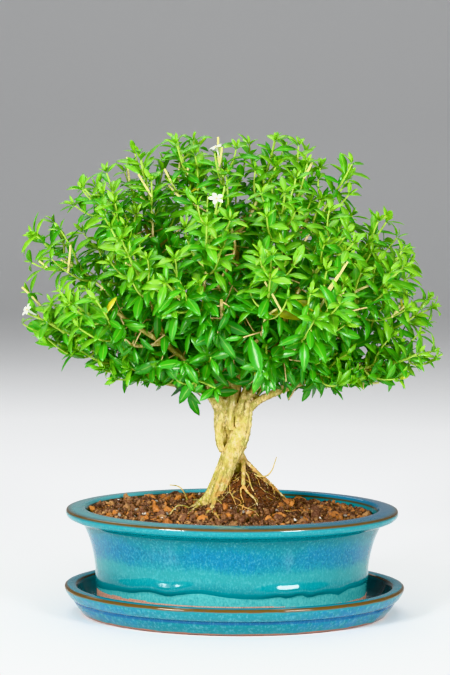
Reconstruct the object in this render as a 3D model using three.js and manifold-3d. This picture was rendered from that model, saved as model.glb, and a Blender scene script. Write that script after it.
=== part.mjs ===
// Serissa bonsai: a small twisted tree with exposed roots, in granular soil, in an oval glazed pot on its
// saucer. Millimetres, +Z up, +X along the pot's length. The origin is the centre of the saucer's flat
// underside. The tree, its soil and the pot share one centre line, a little to the left of the saucer's.

import * as THREE from 'three';
import { mergeVertices } from 'three/addons/utils/BufferGeometryUtils.js';
import Module from 'manifold-3d';

const wasm = await Module();
wasm.setup();

// ---- driving dimensions ----

const gap = 0.3; // air between pieces that rest on or grow from each other
const seamTolerance = 0.12; // slivers finer than this are cleaned from joined pieces
const ovalSegments = 36;

// Saucer
const saucerLength = 235.6;
const saucerHeight = 20.4;
const saucerFloor = 5.5; // top of the floor that the pot stands on
const saucerNarrowing = 25.2; // how much shorter the half width is than the half length

// Pot
const potCentreX = -1.9; // the pot stands a little off the saucer's centre
const potLength = 230;
const potRimZ = 73; // outer top edge of the lip
const potNarrowing = 22.3;
const potFootLength = 91.4; // half length of the foot's outer edge
const lipWidth = 13.5;
const footRecess = 3.5; // the body's underside is this far above the foot
const potFloorThickness = 5;
const footNotchWidth = 30; // lets water out under the middle of each long side
const drainRadius = 8;
const drainSpacing = 76; // between the two drainage holes
const meshSize = 26; // square plastic mesh over each drainage hole
const meshThickness = 1;
const meshHole = 4.6;
const meshPitch = 6.4;

// Soil
const soilEdgeZ = 66.5; // at the pot's wall
const soilMound = 9.5; // rise towards the trunk
const rootCone = { x: 10, y: 4, z: 105, slope: 0.98 }; // earth held between the exposed roots
const grainRelief = 1.3; // the granules roughen the surface by this much up and down

// Canopy: a dome round the crown's centre, wider than deep, with a shallow underside
const crown = { x: -2, y: 0, z: 192, halfLength: 134, halfDepth: 112, rise: 134, sink: 36 };
const outerSprays = 37; // on the outline and the dome
const lowSprays = 9; // inside and under the dome
const domePlaces = 56; // places of the dome's spiral, some of them taken by the outline's sprays
const domeLowest = -0.35; // where the spiral ends, as a share of the way down from the crown's centre
const tipSpacing = 40; // least distance between the tips of two sprays
const sprayLength = 52;
const sprayAttempts = 6; // whole sprays tried before there is no room
const shootAttempts = 14; // bends tried for a shoot
const leafAttempts = 9; // turns tried for a leaf
const twigRadius = 1.0;
const shootRadius = 0.75;
const bandHeight = 1.5; // height of the ring band that leaves and side shoots grow out of
const leafLength = 23;
const leafWidth = 9.6;
const leafOutline = [[0.26, 0.36], [0.6, 0.46]]; // [reach, half width] as shares of length and width
const leafFold = 0.14; // how far the edges rise above the midrib, as a share of the width
const leafReach = 11; // how far the last leaves reach past a shoot's tip
const petalCount = 5;
const petalLength = 4.6;
const petalWidth = 3.4;
const flowerTube = 8; // length of the tube below the petals
const tubeRadii = [0.7, 1.2, 1.4]; // at the tube's foot, below the petals and at its mouth

// Seeds of the random draws
const soilSeed = 41;
const tipSeed = 7;
const spraySeed = 100;
const flowerSeed = 300;

// ---- helpers ----

const vec = (x, y, z) => new THREE.Vector3(x, y, z);
const up = vec(0, 0, 1);

// Repeatable random numbers from 0 to 1 (mulberry32)
function seeded(seed) {
  let state = seed >>> 0;
  return () => {
    state = (state + 0x6d2b79f5) >>> 0;
    let mixed = Math.imul(state ^ (state >>> 15), state | 1);
    mixed ^= mixed + Math.imul(mixed ^ (mixed >>> 7), mixed | 61);
    return ((mixed ^ (mixed >>> 14)) >>> 0) / 4294967296;
  };
}

const varied = (random, low, high) => low + (high - low) * random();

// A random step of up to half the amount along each axis
function strayBy(amount, random) {
  return vec(random() - 0.5, random() - 0.5, random() - 0.5).multiplyScalar(amount);
}

function toSolid(geometry) {
  geometry.deleteAttribute('normal');
  geometry.deleteAttribute('uv');
  const merged = mergeVertices(geometry, 1e-4);
  return new wasm.Manifold(new wasm.Mesh({
    numProp: 3,
    vertProperties: new Float32Array(merged.attributes.position.array),
    triVerts: new Uint32Array(merged.index.array),
  }));
}

// A closed skin over rings of points, with flat ends
function skin(rings) {
  const sides = rings[0].length;
  const last = (rings.length - 1) * sides;
  const faces = [];
  for (let side = 0; side < sides; side++) {
    const next = (side + 1) % sides;
    for (let low = 0; low < last; low += sides) {
      const high = low + sides;
      faces.push(low + side, low + next, high + next);
      faces.push(low + side, high + next, high + side);
    }
    if (side > 0 && next > 0) {
      faces.push(0, next, side);
      faces.push(last, last + side, last + next);
    }
  }
  const geometry = new THREE.BufferGeometry().setFromPoints(rings.flat());
  geometry.setIndex(faces);
  return toSolid(geometry);
}

// A round stem of changing radius along a curve
function stem(curve, radiusAt, sides, segments) {
  const frames = curve.computeFrenetFrames(segments, false);
  const rings = [];
  for (let step = 0; step <= segments; step++) {
    const t = step / segments;
    const centre = curve.getPoint(t);
    const radius = radiusAt(t);
    const ring = [];
    for (let side = 0; side < sides; side++) {
      const angle = (2 * Math.PI * side) / sides;
      ring.push(centre.clone()
        .addScaledVector(frames.normals[step], radius * Math.cos(angle))
        .addScaledVector(frames.binormals[step], radius * Math.sin(angle)));
    }
    rings.push(ring);
  }
  return skin(rings);
}

// A smooth curve through points that are given as [x, y, z]
function through(places) {
  return new THREE.CatmullRomCurve3(places.map((place) => vec(...place)), false, 'catmullrom', 0.5);
}

function largestBody(solid) {
  const bodies = solid.decompose();
  bodies.sort((a, b) => b.volume() - a.volume());
  return bodies[0];
}

// ---- pottery ----

// Half width of an oval whose half length is given; near the middle it shrinks in proportion
function ovalDepth(halfLength, narrowing) {
  const core = 60;
  return halfLength > core ? halfLength - narrowing : (halfLength * (core - narrowing)) / core;
}

// A solid turned like pottery from a profile of [half length, height], but oval
function ovalTurned(profile, narrowing, segments = ovalSegments) {
  const lathe = new THREE.LatheGeometry(profile.map(([a, z]) => new THREE.Vector2(a, z)), segments);
  const position = lathe.attributes.position;
  for (let i = 0; i < position.count; i++) {
    const a = Math.hypot(position.getX(i), position.getZ(i));
    const height = position.getY(i);
    const angle = Math.atan2(position.getX(i), position.getZ(i));
    position.setXYZ(i, a * Math.cos(angle), ovalDepth(a, narrowing) * Math.sin(angle), height);
  }
  const solid = toSolid(lathe);
  if (solid.volume() > 0) return solid;
  lathe.setIndex([...lathe.index.array].reverse());
  return toSolid(lathe);
}

function saucerSolid() {
  const a = saucerLength / 2;
  const base = a - 13;
  return ovalTurned([
    [0, 0], [base, 0], [base + 1.3, 2.0], [a - 8.2, 6.2], [a - 6.2, 9.4], [a - 6.4, 10.6],
    [a - 4.0, 11.6], [a - 1.6, 15], [a, 18.4], [a - 0.9, saucerHeight - 0.3], [a - 5, saucerHeight + 0.2],
    [a - 9, saucerHeight - 0.6], [a - 11.2, 14], [a - 14.5, 8.4], [a - 20, saucerFloor], [0, saucerFloor],
  ], saucerNarrowing);
}

const potFootZ = saucerFloor + gap;
const potFloorTop = potFootZ + footRecess + potFloorThickness;
// Inner face of the pot, from the floor to the lip
const potInside = [
  [82, potFloorTop], [86.4, potFloorTop + 5], [88.6, 40], [92.6, 56], [98.6, 67.5], [101.2, 72.4],
];

function box(width, depth, height, x, y, z) {
  return toSolid(new THREE.BoxGeometry(width, depth, height).translate(x, y, z));
}

function upright(radius, height, x, y, z, sides) {
  const cylinder = new THREE.CylinderGeometry(radius, radius, height, sides);
  return toSolid(cylinder.rotateX(Math.PI / 2).translate(x, y, z));
}

function potSolid() {
  const a = potLength / 2;
  const underside = potFootZ + footRecess;
  let pot = ovalTurned([
    [0, underside], [potFootLength - 8.4, underside], [potFootLength - 7.4, potFootZ],
    [potFootLength, potFootZ], [potFootLength + 1.6, potFootZ + 2.2], [93.2, 21], [95, 38], [98.2, 51.5],
    [102.6, 61.8], [105, 65], [112.6, 66.6], [a - 0.2, 69], [a, 71.6], [a - 1.2, potRimZ + 0.3],
    [a - lipWidth + 1, potRimZ + 1.4], ...[...potInside].reverse(), [0, potFloorTop],
  ], potNarrowing);
  for (const end of [-1, 1]) {
    pot = pot.subtract(upright(drainRadius, 20, (end * drainSpacing) / 2, 0, underside, 16));
    const notchY = end * (potFootLength - potNarrowing);
    pot = pot.subtract(box(footNotchWidth, 20, 2 * footRecess, 0, notchY, potFootZ));
  }
  return pot.translate(potCentreX, 0, 0);
}

function drainMeshSolid(end) {
  const z = potFloorTop + gap + meshThickness / 2;
  const x = potCentreX + (end * drainSpacing) / 2;
  let sheet = box(meshSize, meshSize, meshThickness, x, 0, z);
  for (const column of [-0.5, 0.5]) {
    for (const row of [-0.5, 0.5]) {
      sheet = sheet.subtract(box(meshHole, meshHole, 4, x + column * meshPitch, row * meshPitch, z));
    }
  }
  return sheet;
}

// ---- tree: routes in pot coordinates (the tree's own centre line is x = 0) ----

// Trunk stems twisted round each other, and the roots that carry them. Each is a list of points [x, y, z],
// and of radii that lie evenly spaced along it.
const trunkStems = [
  // stout stem: from the left foot, across the front, to the bulge at the upper right
  { radii: [8.4, 6.8, 6.6, 6.4, 6.6, 6.4, 5.4, 4.2], points: [[-17, -3, 62], [-13.5, -4, 78], [-8, -5, 92],
    [-3, -5, 106], [3, -4, 118], [6.5, -2, 130], [8.5, 0, 144], [11, 0, 154]] },
  // second stem: up out of the root cone, behind the waist, to the upper left
  { radii: [5.6, 5.2, 5, 4.8, 4.6, 4.6, 3.6], points: [[12, 5, 84], [7, 6, 98], [-1, 5, 110],
    [-6.5, 3, 121], [-8.5, 0, 132], [-8, -1, 144], [-10, -1, 153]] },
  // third stem: between the two, up the middle
  { radii: [4.6, 5.6, 5.8, 5.2, 4.4, 3.6], points: [[4, 4, 104], [2, 5, 118], [-1, 1, 130], [-1, -1, 142],
    [-1, 0, 156], [-2, 0, 170]] },
];

const exposedRoots = [
  { radii: [3.2, 0.9], points: [[4, 3, 110], [12, 4, 100], [24, 3, 88], [38, 2, 75], [50, 0, 66]] },
  { radii: [2.4, 0.8], points: [[3, -2, 104], [9, -9, 93], [12, -17, 82], [22, -26, 71], [28, -31, 66]] },
  { radii: [2.0, 0.8], points: [[6, -1, 106], [16, -8, 92], [25, -17, 79], [37, -24, 68]] },
  { radii: [2.6, 0.9], points: [[6, 6, 108], [15, 15, 94], [23, 26, 79], [32, 36, 68]] },
  { radii: [2.6, 0.9], points: [[2, 8, 104], [3, 20, 89], [0, 31, 74], [-4, 39, 66]] },
  { radii: [2.4, 0.9], points: [[-14, 0, 86], [-16, 10, 78], [-22, 24, 70], [-28, 33, 65]] },
  { radii: [2.8, 0.9], points: [[-15, -4, 84], [-24, -6, 77], [-36, -8, 72], [-48, -14, 67]] },
  { radii: [2.4, 0.8], points: [[-12, -8, 82], [-13, -16, 76], [-20, -26, 70], [-24, -36, 66]] },
];

const limbs = [
  { radii: [4, 1.7], points: [[-9, -1, 140], [-17, -2, 153], [-36, -6, 176], [-60, -10, 187],
    [-88, -12, 197], [-108, -12, 210]] },
  { radii: [3.6, 1.6], points: [[8, -1, 138], [19, -4, 149], [46, -9, 161], [70, -12, 169], [96, -14, 171],
    [114, -14, 178]] },
  { radii: [3.6, 1.6], points: [[9, 0, 142], [15, 1, 156], [36, 3, 172], [62, 5, 196], [84, 4, 226]] },
  { radii: [3.6, 1.6], points: [[-3, 0, 150], [-7, -1, 166], [-6, -6, 196], [-13, -6, 244],
    [-12, -4, 276]] },
  { radii: [3.6, 1.6], points: [[2, 0, 150], [5, 1, 166], [14, 4, 200], [34, 5, 242], [52, 4, 276]] },
  { radii: [3.4, 1.6], points: [[-6, 0, 148], [-16, 0, 172], [-38, 2, 206], [-54, 2, 250], [-62, 0, 270]] },
  { radii: [3.2, 1.5], points: [[0, -2, 146], [-2, -14, 166], [-5, -38, 188], [-7, -66, 206],
    [-8, -80, 222]] },
  { radii: [3.2, 1.5], points: [[2, 3, 146], [5, 16, 166], [8, 40, 190], [10, 68, 206], [10, 84, 222]] },
  { radii: [3, 1.5], points: [[7, -1, 146], [22, -16, 166], [42, -36, 186], [62, -54, 202],
    [76, -64, 214]] },
  { radii: [3, 1.5], points: [[7, 2, 146], [23, 17, 166], [44, 36, 186], [64, 54, 202], [78, 66, 214]] },
  { radii: [3, 1.5], points: [[-7, -1, 146], [-22, -16, 166], [-42, -34, 186], [-64, -52, 202],
    [-80, -60, 214]] },
  { radii: [3, 1.5], points: [[-7, 2, 146], [-22, 18, 168], [-40, 38, 188], [-60, 56, 204],
    [-76, 66, 216]] },
  { radii: [3.2, 1.5], points: [[0, 2, 150], [2, 12, 176], [4, 26, 214], [2, 40, 256], [0, 46, 274]] },
];

// Sprays that stand out of the crown's outline, by the point their tips reach
const outlineTips = [
  vec(-144, -8, 206), vec(-136, -4, 256), vec(-130, 6, 194), vec(-104, 2, 292), vec(-68, -6, 318),
  vec(-38, 2, 334), vec(-10, -8, 324), vec(28, 0, 335), vec(52, 6, 318), vec(80, 2, 305),
  vec(108, -4, 270), vec(118, 4, 250), vec(137, 2, 210), vec(136, -26, 182), vec(108, -14, 154),
  vec(-88, -16, 158), vec(-14, -86, 288),
];

// The flowers stand on the sprays whose tips are nearest to these points
const flowerPlaces = [vec(-14, -84, 286), vec(-8, -8, 322), vec(-144, -8, 206), vec(50, 90, 240)];

const goldenAngle = Math.PI * (3 - Math.sqrt(5));

// A point on the dome in the direction of a unit vector, pushed in or out by a factor
function onCrown(direction, reach) {
  const lift = direction.z > 0 ? crown.rise : crown.sink;
  const halfSizes = vec(crown.halfLength, crown.halfDepth, lift);
  return vec(crown.x, crown.y, crown.z).addScaledVector(direction.clone().multiply(halfSizes), reach);
}

// The low sprays stand by turns in two rows, and are shorter than the others
const lowRows = [{ lowest: 158, dip: 0.35 }, { lowest: 182, dip: 0.1 }];
const lowShare = 0.72;

// Tips of all sprays: the outline's own, then the dome's by a golden-angle spiral, then the low ones
function sprayTips() {
  const random = seeded(tipSeed);
  const heart = vec(crown.x, crown.y, crown.z);
  const tips = outlineTips.map((reached) => {
    const outward = reached.clone().sub(heart).normalize();
    return { tip: reached.clone().addScaledVector(outward, -leafReach), outward };
  });
  for (let i = 0; i < domePlaces && tips.length < outerSprays; i++) {
    const z = 1 - (1 - domeLowest) * ((i + 0.5) / domePlaces);
    const flat = Math.sqrt(Math.max(0, 1 - z * z));
    const direction = vec(flat * Math.cos(i * goldenAngle), flat * Math.sin(i * goldenAngle), z);
    const tip = onCrown(direction, varied(random, 0.93, 1.02));
    if (tips.some((other) => other.tip.distanceTo(tip) < tipSpacing)) continue;
    tips.push({ tip, outward: direction.clone().multiply(vec(1, 1, z > 0 ? 1 : 0.4)) });
  }
  for (let i = 0; i < lowSprays; i++) {
    const angle = (2 * Math.PI * (i + varied(random, 0, 0.3))) / lowSprays;
    const { lowest, dip } = lowRows[i % 2];
    const reach = varied(random, 0.52, 0.66);
    const outward = vec(Math.cos(angle), Math.sin(angle), -dip);
    const height = varied(random, lowest, lowest + 12);
    const tip = vec(crown.halfLength * reach * outward.x, crown.halfDepth * reach * outward.y, height);
    tips.push({ tip, outward, share: lowShare });
  }
  return tips;
}

// Each spray starts at the end of a woody twig and grows to its tip along its own direction
function planSprays() {
  return sprayTips().map(({ tip, outward, share = 1 }, index) => {
    const random = seeded(spraySeed + index);
    const lean = strayBy(0.5, random);
    const lift = outward.z < -0.2 ? 0 : 0.35; // shoots turn up to the light, but not under the crown
    const heading = outward.clone().normalize().addScaledVector(up, lift).add(lean).normalize();
    const length = share * sprayLength * varied(random, 0.85, 1.15);
    const start = tip.clone().addScaledVector(heading, -length);
    return { index, tip, heading, start, length, twig: twigTo(start, heading), random };
  });
}

const limbCurves = limbs.map((limb) => through(limb.points));
const limbSteps = 20; // places along each limb where a twig may leave it
const firstStep = 4;
const shortTwig = 14; // shorter twigs are avoided, because they would leave too steeply
const shortTwigCost = 40;

// The woody twig from the limb that reaches a point with the least bend and length
function twigTo(end, heading) {
  let best = null;
  limbCurves.forEach((curve, limb) => {
    for (let step = firstStep; step < limbSteps; step++) {
      const t = step / limbSteps;
      const from = curve.getPoint(t);
      const length = end.distanceTo(from);
      const way = end.clone().sub(from).normalize();
      const tangent = curve.getTangent(t);
      const turn = 1.7 - way.dot(tangent) - 0.4 * way.dot(heading);
      const cost = (length + 6) * turn + (length < shortTwig ? shortTwigCost : 0);
      if (!best || cost < best.cost) best = { cost, limb, t, from, way, tangent, length };
    }
  });
  const { limb, t, from, way, tangent, length } = best;
  const limbRadius = radiusAlong(limbs[limb].radii)(t);
  const leave = way.addScaledVector(tangent, 0.4).multiplyScalar(0.25 * length);
  const curve = new THREE.CubicBezierCurve3(from, from.clone().add(leave),
    end.clone().addScaledVector(heading, -0.35 * length), end);
  return { curve, length, radii: [Math.min(0.85 * limbRadius, 1.2 + 0.014 * length), twigRadius] };
}

// Radius between the values of a list, evenly spaced along the stem
function radiusAlong(radii, extra = 0) {
  return (t) => {
    const place = t * (radii.length - 1);
    const index = Math.min(Math.floor(place), radii.length - 2);
    return radii[index] + (radii[index + 1] - radii[index]) * (place - index) + extra;
  };
}

// Sides and segments of each kind of stem
const stemFacets = [7, 7];
const rootFacets = [4, 3];
const limbFacets = [4, 4];
const twigFacets = [3, 2];
const longTwigFacets = [3, 3];
const longTwig = 45;

function trunkParts(extra) {
  const grown = (routes, facets) => routes.map(({ points, radii }) => stem(
    through(points), radiusAlong(radii, extra), ...facets));
  return [...grown(trunkStems, stemFacets), ...grown(exposedRoots, rootFacets)];
}

function woodSolid(sprays) {
  const arms = limbs.map(({ radii }, index) => stem(limbCurves[index], radiusAlong(radii), ...limbFacets));
  const twigs = sprays.map(({ twig: { curve, length, radii } }) => stem(
    curve, radiusAlong(radii), ...(length > longTwig ? longTwigFacets : twigFacets)));
  return largestBody(wasm.Manifold.union([...trunkParts(0), ...arms, ...twigs]).simplify(seamTolerance));
}

// ---- soil ----

const soilClearance = 1.6 * gap; // measured along the half length, so that the gap holds square to the wall
const rootClearance = 1.2 * gap;
const soilLevels = [40, 56, soilEdgeZ]; // rings that follow the pot's flared wall
const soilReaches = [0.8, 0.6, 0.43, 0.3, 0.18, 0.07]; // rings on top, as shares of the rim

function soilHeight(x, y) {
  const mound = soilMound * Math.exp(-((x + 2) ** 2) / 2400 - (y ** 2) / 1700);
  const cone = rootCone.z - rootCone.slope * Math.hypot(x - rootCone.x, (y - rootCone.y) * 0.9);
  return Math.max(soilEdgeZ + mound, cone);
}

// Half length of the soil where it meets the pot's inner face
function soilReach(z) {
  const upper = potInside.findIndex(([, height]) => height >= z);
  const [a0, z0] = potInside[upper - 1];
  const [a1, z1] = potInside[upper];
  return a0 + ((a1 - a0) * (z - z0)) / (z1 - z0) - soilClearance;
}

function soilSolid() {
  const ring = (a, z) => Array.from({ length: ovalSegments }, (_, i) => {
    const angle = (2 * Math.PI * i) / ovalSegments;
    return vec(a * Math.cos(angle), ovalDepth(a, potNarrowing) * Math.sin(angle), z);
  });
  const bottom = potFloorTop + 2 * gap + meshThickness;
  const rings = [bottom, ...soilLevels].map((z) => ring(soilReach(z), z));
  const rim = rings.at(-1);
  const random = seeded(soilSeed);
  for (const reach of soilReaches) {
    rings.push(rim.map((edge) => {
      const x = edge.x * reach + rootCone.x * (1 - reach);
      const y = edge.y * reach + rootCone.y * (1 - reach);
      return vec(x, y, soilHeight(x, y) + varied(random, -grainRelief, grainRelief));
    }));
  }
  const roots = wasm.Manifold.union(trunkParts(rootClearance));
  return largestBody(skin(rings).subtract(roots).simplify(seamTolerance));
}

// ---- leaves and flowers ----

// A mesh that grows: shoots are chains of square rings, and leaves and side shoots grow out of a ring
// band's faces, so the whole spray stays one closed skin
class Growth {
  points = [];
  faces = [];
  blades = [];

  add(point) {
    this.points.push(point);
    return this.points.length - 1;
  }

  quad(a, b, c, d) {
    this.faces.push(a, b, c, a, c, d);
  }

  ring(centre, side, front, radius) {
    const corner = (x, y) => this.add(centre.clone().addScaledVector(side, x * radius)
      .addScaledVector(front, y * radius));
    return [corner(1, -1), corner(1, 1), corner(-1, 1), corner(-1, -1)];
  }

  solid() {
    const geometry = new THREE.BufferGeometry().setFromPoints(this.points);
    geometry.setIndex(this.faces);
    return toSolid(geometry);
  }
}

// Points of a leaf's edge, from its left shoulder over the tip to its right shoulder. The two halves are
// raised along the midrib and the tip droops.
function leafEdge(root, along, axis, length, width, droop) {
  const across = axis.clone().cross(along).normalize();
  const face = along.clone().cross(across).normalize();
  const place = (reach, side, raise) => root.clone()
    .addScaledVector(along, length * reach)
    .addScaledVector(across, width * side)
    .addScaledVector(face, width * raise)
    .addScaledVector(up, -droop * length * reach * reach);
  const left = leafOutline.map(([reach, side]) => place(reach, -side, leafFold));
  const right = leafOutline.map(([reach, side]) => place(reach, side, leafFold)).reverse();
  return [...left, place(1, 0, 0), ...right];
}

// Faces between a leaf's foot (low left, low right, high right, high left) and its edge
function leafFaces([lowLeft, lowRight, highRight, highLeft], [left1, left2, tip, right2, right1]) {
  return [
    highLeft, left1, left2, highLeft, left2, tip, highRight, highLeft, tip,
    highRight, tip, right2, highRight, right2, right1,
    lowLeft, left2, left1, lowLeft, tip, left2, lowLeft, lowRight, tip,
    lowRight, right2, tip, lowRight, right1, right2,
    highLeft, lowLeft, left1, lowRight, highRight, right1,
  ];
}

// The leaf alone as a closed solid, to test what it would cross
function leafSolid(foot, edge) {
  const geometry = new THREE.BufferGeometry().setFromPoints([...foot, ...edge]);
  geometry.setIndex([...leafFaces([0, 1, 2, 3], [4, 5, 6, 7, 8]), 0, 3, 2, 0, 2, 1]);
  return toSolid(geometry);
}

// Pieces already standing, with their boxes, so that what grows later can be bent clear of them
const boxed = (solid) => ({ solid, ...solid.boundingBox() });
const standing = [];

function isClear(solid, others) {
  const { min, max } = solid.boundingBox();
  const apart = (other) => [0, 1, 2].some((i) => other.min[i] > max[i] || other.max[i] < min[i]);
  return !others.some((other) => !apart(other) && solid.intersect(other.solid).volume() > 1e-5);
}

const centreOf = (points) => points.reduce((sum, point) => sum.add(point), vec(0, 0, 0))
  .divideScalar(points.length);

// Air round a leaf: more past its edge than square to it
const edgeAir = { length: 1, width: 1.4 };
const faceAir = 0.8;

// Grow a leaf out of one face of a ring band, turned and shortened until it crosses nothing
function growLeaf(growth, foot, axis, size, spread, random) {
  const corners = foot.map((index) => growth.points[index]);
  const root = centreOf(corners);
  const rightward = corners[1].clone().sub(corners[0]).normalize();
  const outward = rightward.clone().cross(axis).normalize();
  for (let attempt = 0; attempt < leafAttempts; attempt++) {
    const scale = size * varied(random, 0.85, 1.15) * (1 - 0.04 * attempt);
    const sway = varied(random, -0.5, 0.5) * (0.5 + 0.2 * attempt);
    const open = spread + varied(random, -0.5, 0.5) * (0.3 + 0.15 * attempt);
    const along = outward.clone().multiplyScalar(Math.sin(open)).addScaledVector(axis, Math.cos(open))
      .addScaledVector(rightward, sway).normalize();
    const droop = varied(random, 0.16, 0.28);
    const shape = (extra) => leafEdge(root, along, axis, leafLength * scale + extra.length,
      leafWidth * scale + extra.width, droop);
    const edge = shape({ length: 0, width: 0 });
    const solid = leafSolid(corners, edge);
    if (solid.volume() < 0 || !isClear(solid, growth.blades)) continue;
    const guards = [leafSolid(corners, shape(edgeAir)), solid.translate(0, 0, faceAir),
      solid.translate(0, 0, -faceAir)];
    if (guards.some((guard) => !isClear(guard, standing))) continue;
    growth.blades.push(boxed(solid));
    growth.faces.push(...leafFaces(foot, edge.map((point) => growth.add(point))));
    return true;
  }
  return false;
}

const allFaces = [0, 1, 2, 3];
const leafSpreads = [1.05, 0.8]; // angle of a leaf to its shoot, by turns round the shoot
const sideBands = [{ t: 1, leaves: allFaces, size: 0.95 }];

// Grow a shoot along a curve from a ring of corners. The plan lists, for each band, its place along the
// curve and what grows from each pair of its faces.
function growShoot(growth, start, curve, radius, plan, random) {
  let below = start;
  const side = growth.points[start[0]].clone().sub(growth.points[start[3]]).normalize();
  const length = curve.getLength();
  plan.forEach(({ t, leaves, size, shoots = [] }, order) => {
    const axis = curve.getTangent(t);
    const across = side.clone().addScaledVector(axis, -side.dot(axis)).normalize();
    const front = axis.clone().cross(across).normalize();
    const low = growth.ring(curve.getPoint(t - bandHeight / length), across, front, radius);
    const high = growth.ring(curve.getPoint(t), across, front, radius);
    for (let face = 0; face < 4; face++) {
      const next = (face + 1) % 4;
      growth.quad(below[face], below[next], low[next], low[face]);
      const foot = [low[face], low[next], high[next], high[face]];
      const sideCurve = shoots[face]?.(foot, axis);
      if (sideCurve) {
        growShoot(growth, foot, sideCurve, radius, sideBands, random);
      } else if (!leaves.includes(face)
        || !growLeaf(growth, foot, axis, size, leafSpreads[(face + order) % 2], random)) {
        growth.quad(...foot);
      }
    }
    below = high;
  });
  const bud = growth.add(curve.getPoint(1).addScaledVector(curve.getTangent(1), 2 * radius));
  for (let face = 0; face < 4; face++) growth.faces.push(below[face], below[(face + 1) % 4], bud);
}

// A fat tube round a shoot, from a little past its foot, to test what the shoot would cross
function shootGuard(curve) {
  const places = [0.05, 0.55, 1].map((t) => curve.getPoint(t));
  return stem(new THREE.QuadraticBezierCurve3(...places), () => 2 * shootRadius, 4, 3);
}

// The first of several bent versions of a curve that crosses nothing that stands
function clearCurve(bentBy) {
  for (let attempt = 0; attempt < shootAttempts; attempt++) {
    const curve = bentBy(attempt);
    if (isClear(shootGuard(curve), standing)) return curve;
  }
  return null;
}

// A side shoot's curve out of one face of a ring band
function sideCurveFrom(growth, corners, axis, length, random) {
  const points = corners.map((index) => growth.points[index]);
  const root = centreOf(points);
  const outward = points[1].clone().sub(points[0]).cross(axis).normalize();
  const reach = length * varied(random, 0.44, 0.6);
  return clearCurve((attempt) => {
    const end = root.clone().addScaledVector(outward, reach * 0.75).addScaledVector(axis, reach * 0.6)
      .add(strayBy(0.5 * reach + attempt, random));
    return new THREE.QuadraticBezierCurve3(root, root.clone().addScaledVector(outward, 0.45 * reach), end);
  });
}

// One spray: a bowed shoot with side shoots, a leaf pair and a rosette at each tip
function spraySolid({ start, tip, heading, length, random }) {
  const growth = new Growth();
  const side = heading.clone().cross(up).normalize();
  const front = heading.clone().cross(side).normalize();
  const from = start.clone().addScaledVector(heading, gap);
  const foot = growth.ring(from, side, front, shootRadius);
  growth.quad(foot[3], foot[2], foot[1], foot[0]);
  const curve = clearCurve((attempt) => {
    const end = tip.clone().add(strayBy(5 * attempt, random));
    const middle = from.clone().addScaledVector(heading, 0.4 * length).add(strayBy(8, random));
    return new THREE.QuadraticBezierCurve3(from, middle, end);
  });
  if (!curve) return null;
  const sideShoot = (corners, axis) => sideCurveFrom(growth, corners, axis, length, random);
  growShoot(growth, foot, curve, shootRadius, [
    { t: 0.28, leaves: [random() < 0.5 ? 1 : 3], size: 1.05, shoots: { 0: sideShoot, 2: sideShoot } },
    { t: 0.62, leaves: [1, 3], size: 1.05 },
    { t: 1, leaves: allFaces, size: 0.9 },
  ], random);
  return { solid: growth.solid(), end: curve.getPoint(1), axis: curve.getTangent(1) };
}

// One flower on its thin tube: five spreading petals round the mouth
function flowerSolid(foot, axis, random) {
  const growth = new Growth();
  const side = axis.clone().cross(up.clone().addScaledVector(axis, 0.1)).normalize();
  const front = axis.clone().cross(side).normalize();
  const turn = random() * Math.PI;
  const ring = (along, radius) => Array.from({ length: petalCount }, (_, i) => {
    const angle = turn + (2 * Math.PI * i) / petalCount;
    return growth.add(foot.clone().addScaledVector(axis, along)
      .addScaledVector(side, radius * Math.cos(angle)).addScaledVector(front, radius * Math.sin(angle)));
  });
  const base = ring(0, tubeRadii[0]);
  const low = ring(flowerTube - bandHeight, tubeRadii[1]);
  const high = ring(flowerTube, tubeRadii[2]);
  for (let face = 0; face < petalCount; face++) {
    const next = (face + 1) % petalCount;
    growth.quad(base[face], base[next], low[next], low[face]);
    const corners = [low[face], low[next], high[next], high[face]];
    const points = corners.map((index) => growth.points[index]);
    const root = centreOf(points);
    const outward = points[1].clone().sub(points[0]).cross(axis).normalize();
    const along = outward.addScaledVector(axis, 0.25).normalize();
    const edge = leafEdge(root, along, axis, petalLength, petalWidth, 0);
    growth.faces.push(...leafFaces(corners, edge.map((point) => growth.add(point))));
    if (face > 0 && next > 0) {
      growth.faces.push(base[0], base[next], base[face], high[0], high[face], high[next]);
    }
  }
  return growth.solid();
}

// ---- assembly ----

const bonsai = new THREE.Group();

function addMesh(name, solid, color, roughness) {
  const { vertProperties, triVerts } = solid.getMesh();
  const geometry = new THREE.BufferGeometry();
  geometry.setAttribute('position', new THREE.BufferAttribute(new Float32Array(vertProperties), 3));
  geometry.setIndex(new THREE.BufferAttribute(new Uint32Array(triVerts), 1));
  const material = new THREE.MeshStandardMaterial({ color, roughness, metalness: 0 });
  const mesh = new THREE.Mesh(geometry, material);
  mesh.name = name;
  bonsai.add(mesh);
}

const atPot = (solid) => solid.translate(potCentreX, 0, 0);

addMesh('saucer', saucerSolid(), 0x2c9fb4, 0.12);
addMesh('pot', potSolid(), 0x2aa7b3, 0.12);
addMesh('drain_mesh_left', drainMeshSolid(-1), 0x26282a, 0.6);
addMesh('drain_mesh_right', drainMeshSolid(1), 0x26282a, 0.6);

const soil = soilSolid();
addMesh('soil', atPot(soil), 0x6b3f27, 0.95);

const sprays = planSprays();
const wood = woodSolid(sprays);
addMesh('trunk_roots_branches', atPot(wood), 0xb59a6a, 0.8);
standing.push(boxed(soil), boxed(wood));

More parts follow.
